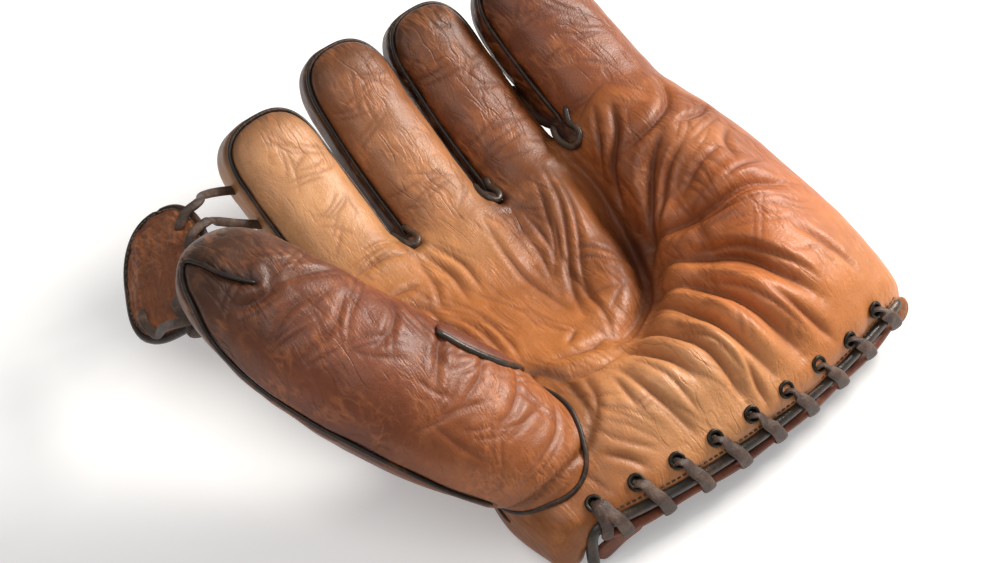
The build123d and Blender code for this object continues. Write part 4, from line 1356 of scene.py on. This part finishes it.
def add_eyelets():
    bm = bmesh.new()
    for x in EYELET_X:
        centre = settle(heel_point([x], -EYELET_SETBACK, 30.0), 6)
        normal = Vector(surface_normals(centre)[0])
        turn = normal.to_track_quat("Z", "Y").to_matrix().to_4x4()
        matrix = Matrix.Translation(Vector(centre[0]) + 0.25 * normal) @ turn
        before = set(bm.verts)
        ring = bmesh.ops.create_circle(bm, segments=8, radius=0.85,
                                       matrix=Matrix.Translation((2.9, 0, 0))
                                       @ Matrix.Rotation(math.pi / 2, 4, "X"))["verts"]
        edges = list({e for v in ring for e in v.link_edges})
        bmesh.ops.spin(bm, geom=ring + edges, cent=(0, 0, 0), axis=(0, 0, 1), dvec=(0, 0, 0),
                       angle=math.tau, steps=24, use_merge=True)
        cup = bmesh.ops.create_circle(bm, cap_ends=True, segments=24, radius=2.6,
                                      matrix=Matrix.Translation((0, 0, -0.15)))["verts"]
        bmesh.ops.solidify(bm, geom=list({f for v in cup for f in v.link_faces
                                          if len(f.verts) > 4}), thickness=0.3)
        bmesh.ops.transform(bm, matrix=matrix, verts=[v for v in bm.verts if v not in before])
    piece("heel_eyelet_rings", bm, EYELET, "eyelet", "palm", replaces=("heel_eyelets",))


def add_heel():
    """Rolled binding, second leather edge, eyelets, lace and stitches along the heel."""
    left = HEEL_OPENING[0]
    x = np.linspace(left + 3, 121, 110)
    corner = [heel_point(left + a, out, z) for a, out, z in
              ((-1.5, 7.0, 4.0), (-1.2, 5.4, 7), (-0.8, 3.0, 12), (0.3, 1.2, 17.5))]
    roll = smooth_path(np.vstack([corner, heel_point(x, 0.6, 20.5)]), 1.4)
    strip("heel_binding_roll", roll, (0.3, -0.6, 0.74), 2.5, 2.5, BINDING, "welt", "palm",
          segments=12, replaces=("heel_binding",))
    bm = bmesh.new()
    x = np.linspace(left + 4, 119, 120)
    edge = heel_point(x, 2.2 + 0.5 * np.sin(x / 7), 15.6 + 0.6 * np.cos(x / 9))
    sweep(bm, edge, (0.0, -0.6, 0.8), 2.3, 1.3, segments=10, taper=3)
    flap = smooth_path([heel_point(left + a, out, z) for a, out, z in
                        ((2, 3.0, 5.5), (7, 2.4, 7.5), (14, 1.6, 11), (22, 1.4, 14.0))], 1.2)
    sweep(bm, flap, (0.2, -0.9, 0.4), 4.2, 1.0, segments=10, taper=3)
    piece("heel_leather_edge", bm, EDGE, "palm_leather", "palm")
    tab = smooth_path([heel_point(a, out, z) for a, out, z in
                       ((112, 0.5, 16), (118, 1.8, 17), (124, 3.0, 18.5))], 1.0)
    strip("heel_corner_tab", tab, (0.2, -0.9, 0.4), 6.5, 1.1, STRAP_HIDE, "palm_leather", "palm",
          segments=12, taper=6)
    add_eyelets()
    bm = bmesh.new()
    sweep(bm, *lace_path(), 2.9, 0.85, segments=12, taper=2)
    tail = [heel_point(EYELET_X[0] + a, out, z) for a, out, z in
            ((-0.6, -3.0, 29.5), (0.4, 0.6, 27.0), (1.2, 3.6, 22.5), (0.4, 5.0, 17.0))]
    tail = smooth_path(tail, 1.0)
    sweep(bm, tail, (-0.2, -0.7, 0.7), 2.5, 0.8, segments=12)
    piece("heel_lacing", bm, LACE, "lace", "palm", replaces=("heel_lace",))
    bm = bmesh.new()
    for x0 in np.arange(left + 3, 117, 2.6):
        line = settle(heel_point([x0, x0 + 1.7], -0.4, 25.0), 6, 0.2)
        sweep(bm, np.linspace(line[0], line[1], 4), (0, -0.3, 1.0), 0.35, 0.3, segments=6,
              taper=1)
    piece("heel_stitches", bm, THREAD, "lace", "palm")


def add_lining():
    """Lining of the hand's hollow: its ceiling, sides and far end."""
    bm = bmesh.new()
    grid = bmesh.ops.create_grid(bm, x_segments=40, y_segments=30, size=0.5)["verts"]
    for vert in grid:
        a, b = vert.co.x * 2, vert.co.y + 0.5
        left, right = np.interp(b, (0, 0.25, 1), (-52, -48, -50)), np.interp(
            b, (0, 0.25, 1), (118, 106, 96))
        x = (left + right) / 2 + a * (right - left) / 2
        y = heel_y(x) + 5.0 + b * (41 - heel_y(x))
        top = np.interp(b, (0, 0.3, 0.7, 0.95, 1), (14.8, 17.5, 21, 17, 3.5))
        z = 3.0 + (top - 3.0) * (1 - abs(a)**5)
        vert.co = (x, y, z)
    bmesh.ops.solidify(bm, geom=bm.faces[:], thickness=1.2)
    piece("hand_lining_shell", bm, LINING, "lining", "palm", replaces=("hand_lining",))


WEB_CENTRE = np.array((-122.0, 81.0, 55.0))
WEB_ALONG = unit((0.43, 0.90, 0.10))
WEB_FACING = unit((-0.49, 0.14, 0.86))
WEB_ACROSS = np.cross(WEB_FACING, WEB_ALONG)
LACE_FLAT = (-0.35, -0.45, 0.82)       # the side that the web laces' flats face


def web_point(a, b, c):
    """Point of the web: mm along it, across it and out of its face."""
    return WEB_CENTRE + a * WEB_ALONG + b * WEB_ACROSS + c * WEB_FACING


def web_outline(turn, size=1.0):
    """Outline of the web pad, as along and across, at an angle."""
    c, s = math.cos(turn), math.sin(turn)
    a = 30.0 * math.copysign(abs(c)**0.72, c) * size
    half = 19.5 - 2.5 * c
    return a, half * math.copysign(abs(s)**0.78, s) * size


def add_web():
    """Stuffed web between the thumb's tip and the index finger."""
    bm = bmesh.new()
    bmesh.ops.create_uvsphere(bm, u_segments=180, v_segments=80, radius=1)
    for vert in bm.verts:
        x, y, z = vert.co
        turn, flat = math.atan2(y, x), math.hypot(x, y)
        a, b = web_outline(turn, flat**0.9 * 0.985)
        ripple = noise.fractal(Vector((a * 0.05, b * 0.22, 3.0)), 0.8, 2.0, 3)
        fold = 1 - abs(noise.noise(Vector((a * 0.34, b * 0.07, 9.0)))) * 4
        fine = 1 - abs(noise.noise(Vector((a * 0.6, b * 0.10, 5.0)))) * 4
        crumple = 0.9 * ripple - 0.45 * max(fold, 0)**2 - 0.25 * max(fine, 0)**2
        c = math.copysign(abs(z)**0.7 * 4.6 + crumple * min(abs(z) * 3, 1), z)
        vert.co = web_point(a, b, c)
    piece("web_cushion", bm, WEB_HIDE, "web_leather", "web", fill=0.6,
          replaces=("web_pad", "web_front_leather", "web_back_leather"))
    turns = np.linspace(0, math.tau, 121)[:-1]
    line = np.array([web_point(*web_outline(t), 0.0) for t in turns])
    strip("web_edge_binding", np.vstack([line, line[:1]]), WEB_FACING, 1.5, 2.2, PIPING, "welt",
          "web", taper=1, replaces=("web_binding",))
    bm = bmesh.new()
    for k in range(0, 120, 2):
        for side in (3.1, -3.1):
            ends = [web_point(*web_outline(turns[(k + d) % 120], 0.93), side) for d in (0, 1)]
            middle = (np.array(ends[0]) + ends[1]) / 2
            way = Vector(ends[1] - ends[0])
            turn = way.to_track_quat("X", "Z").to_matrix().to_4x4()
            bmesh.ops.create_icosphere(bm, subdivisions=1, radius=1,
                                       matrix=Matrix.Translation(middle) @ turn
                                       @ Matrix.Diagonal((1.0, 0.4, 0.4, 1)))
    piece("web_stitches", bm, THREAD, "lace", "web")


def add_web_laces():
    """Flat laces that tie the web to the index finger and to the thumb's tip."""
    index = (((14, -9, 3.6), (19, -15, 5.2), (22, -19.5, 3.4), (-91, 103, 61), (-79, 108, 52),
              (-66, 108, 45)),
             ((3, -12, 3.8), (8, -17, 5.2), (11, -21, 3.2), (-93, 90, 58), (-82, 92, 48),
              (-68, 92, 38)))
    thumb = (((-14, 13, 3.6), (-21, 12, 5.4), (-29, 8, 4.8), (-142, 52, 62), (-139, 45, 69),
              (-134, 40, 72)),
             ((-16, -4, 3.8), (-23, -4, 5.4), (-30, -8, 3.4), (-135, 43, 62),
              (-131.5, 36, 67), (-126, 31, 69)))
    for name, routes, node in (("web_to_index_lacing", index, "web_index_lace"),
                               ("web_to_thumb_lacing", thumb, "web_thumb_lace")):
        bm = bmesh.new()
        for route in routes:
            points = [web_point(*q) for q in route[:3]] + [np.array(q, float)
                                                           for q in route[3:]]
            sweep(bm, smooth_path(points), LACE_FLAT, 2.0, 0.9, segments=10)
        piece(name, bm, WEB_LACE, "lace", "web", replaces=(node,))


add_piping()
add_side_piping()
add_crotches()
add_tongue()
add_heel()
add_lining()
add_web()
add_web_laces()
for node, material in (("wrist_strap", STRAP_HIDE), ("wrist_tab", STRAP_HIDE),
                       ("snap_cap", SNAP), ("snap_stud", SNAP)):
    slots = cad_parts[node].data.materials
    slots.clear()
    slots.append(material)
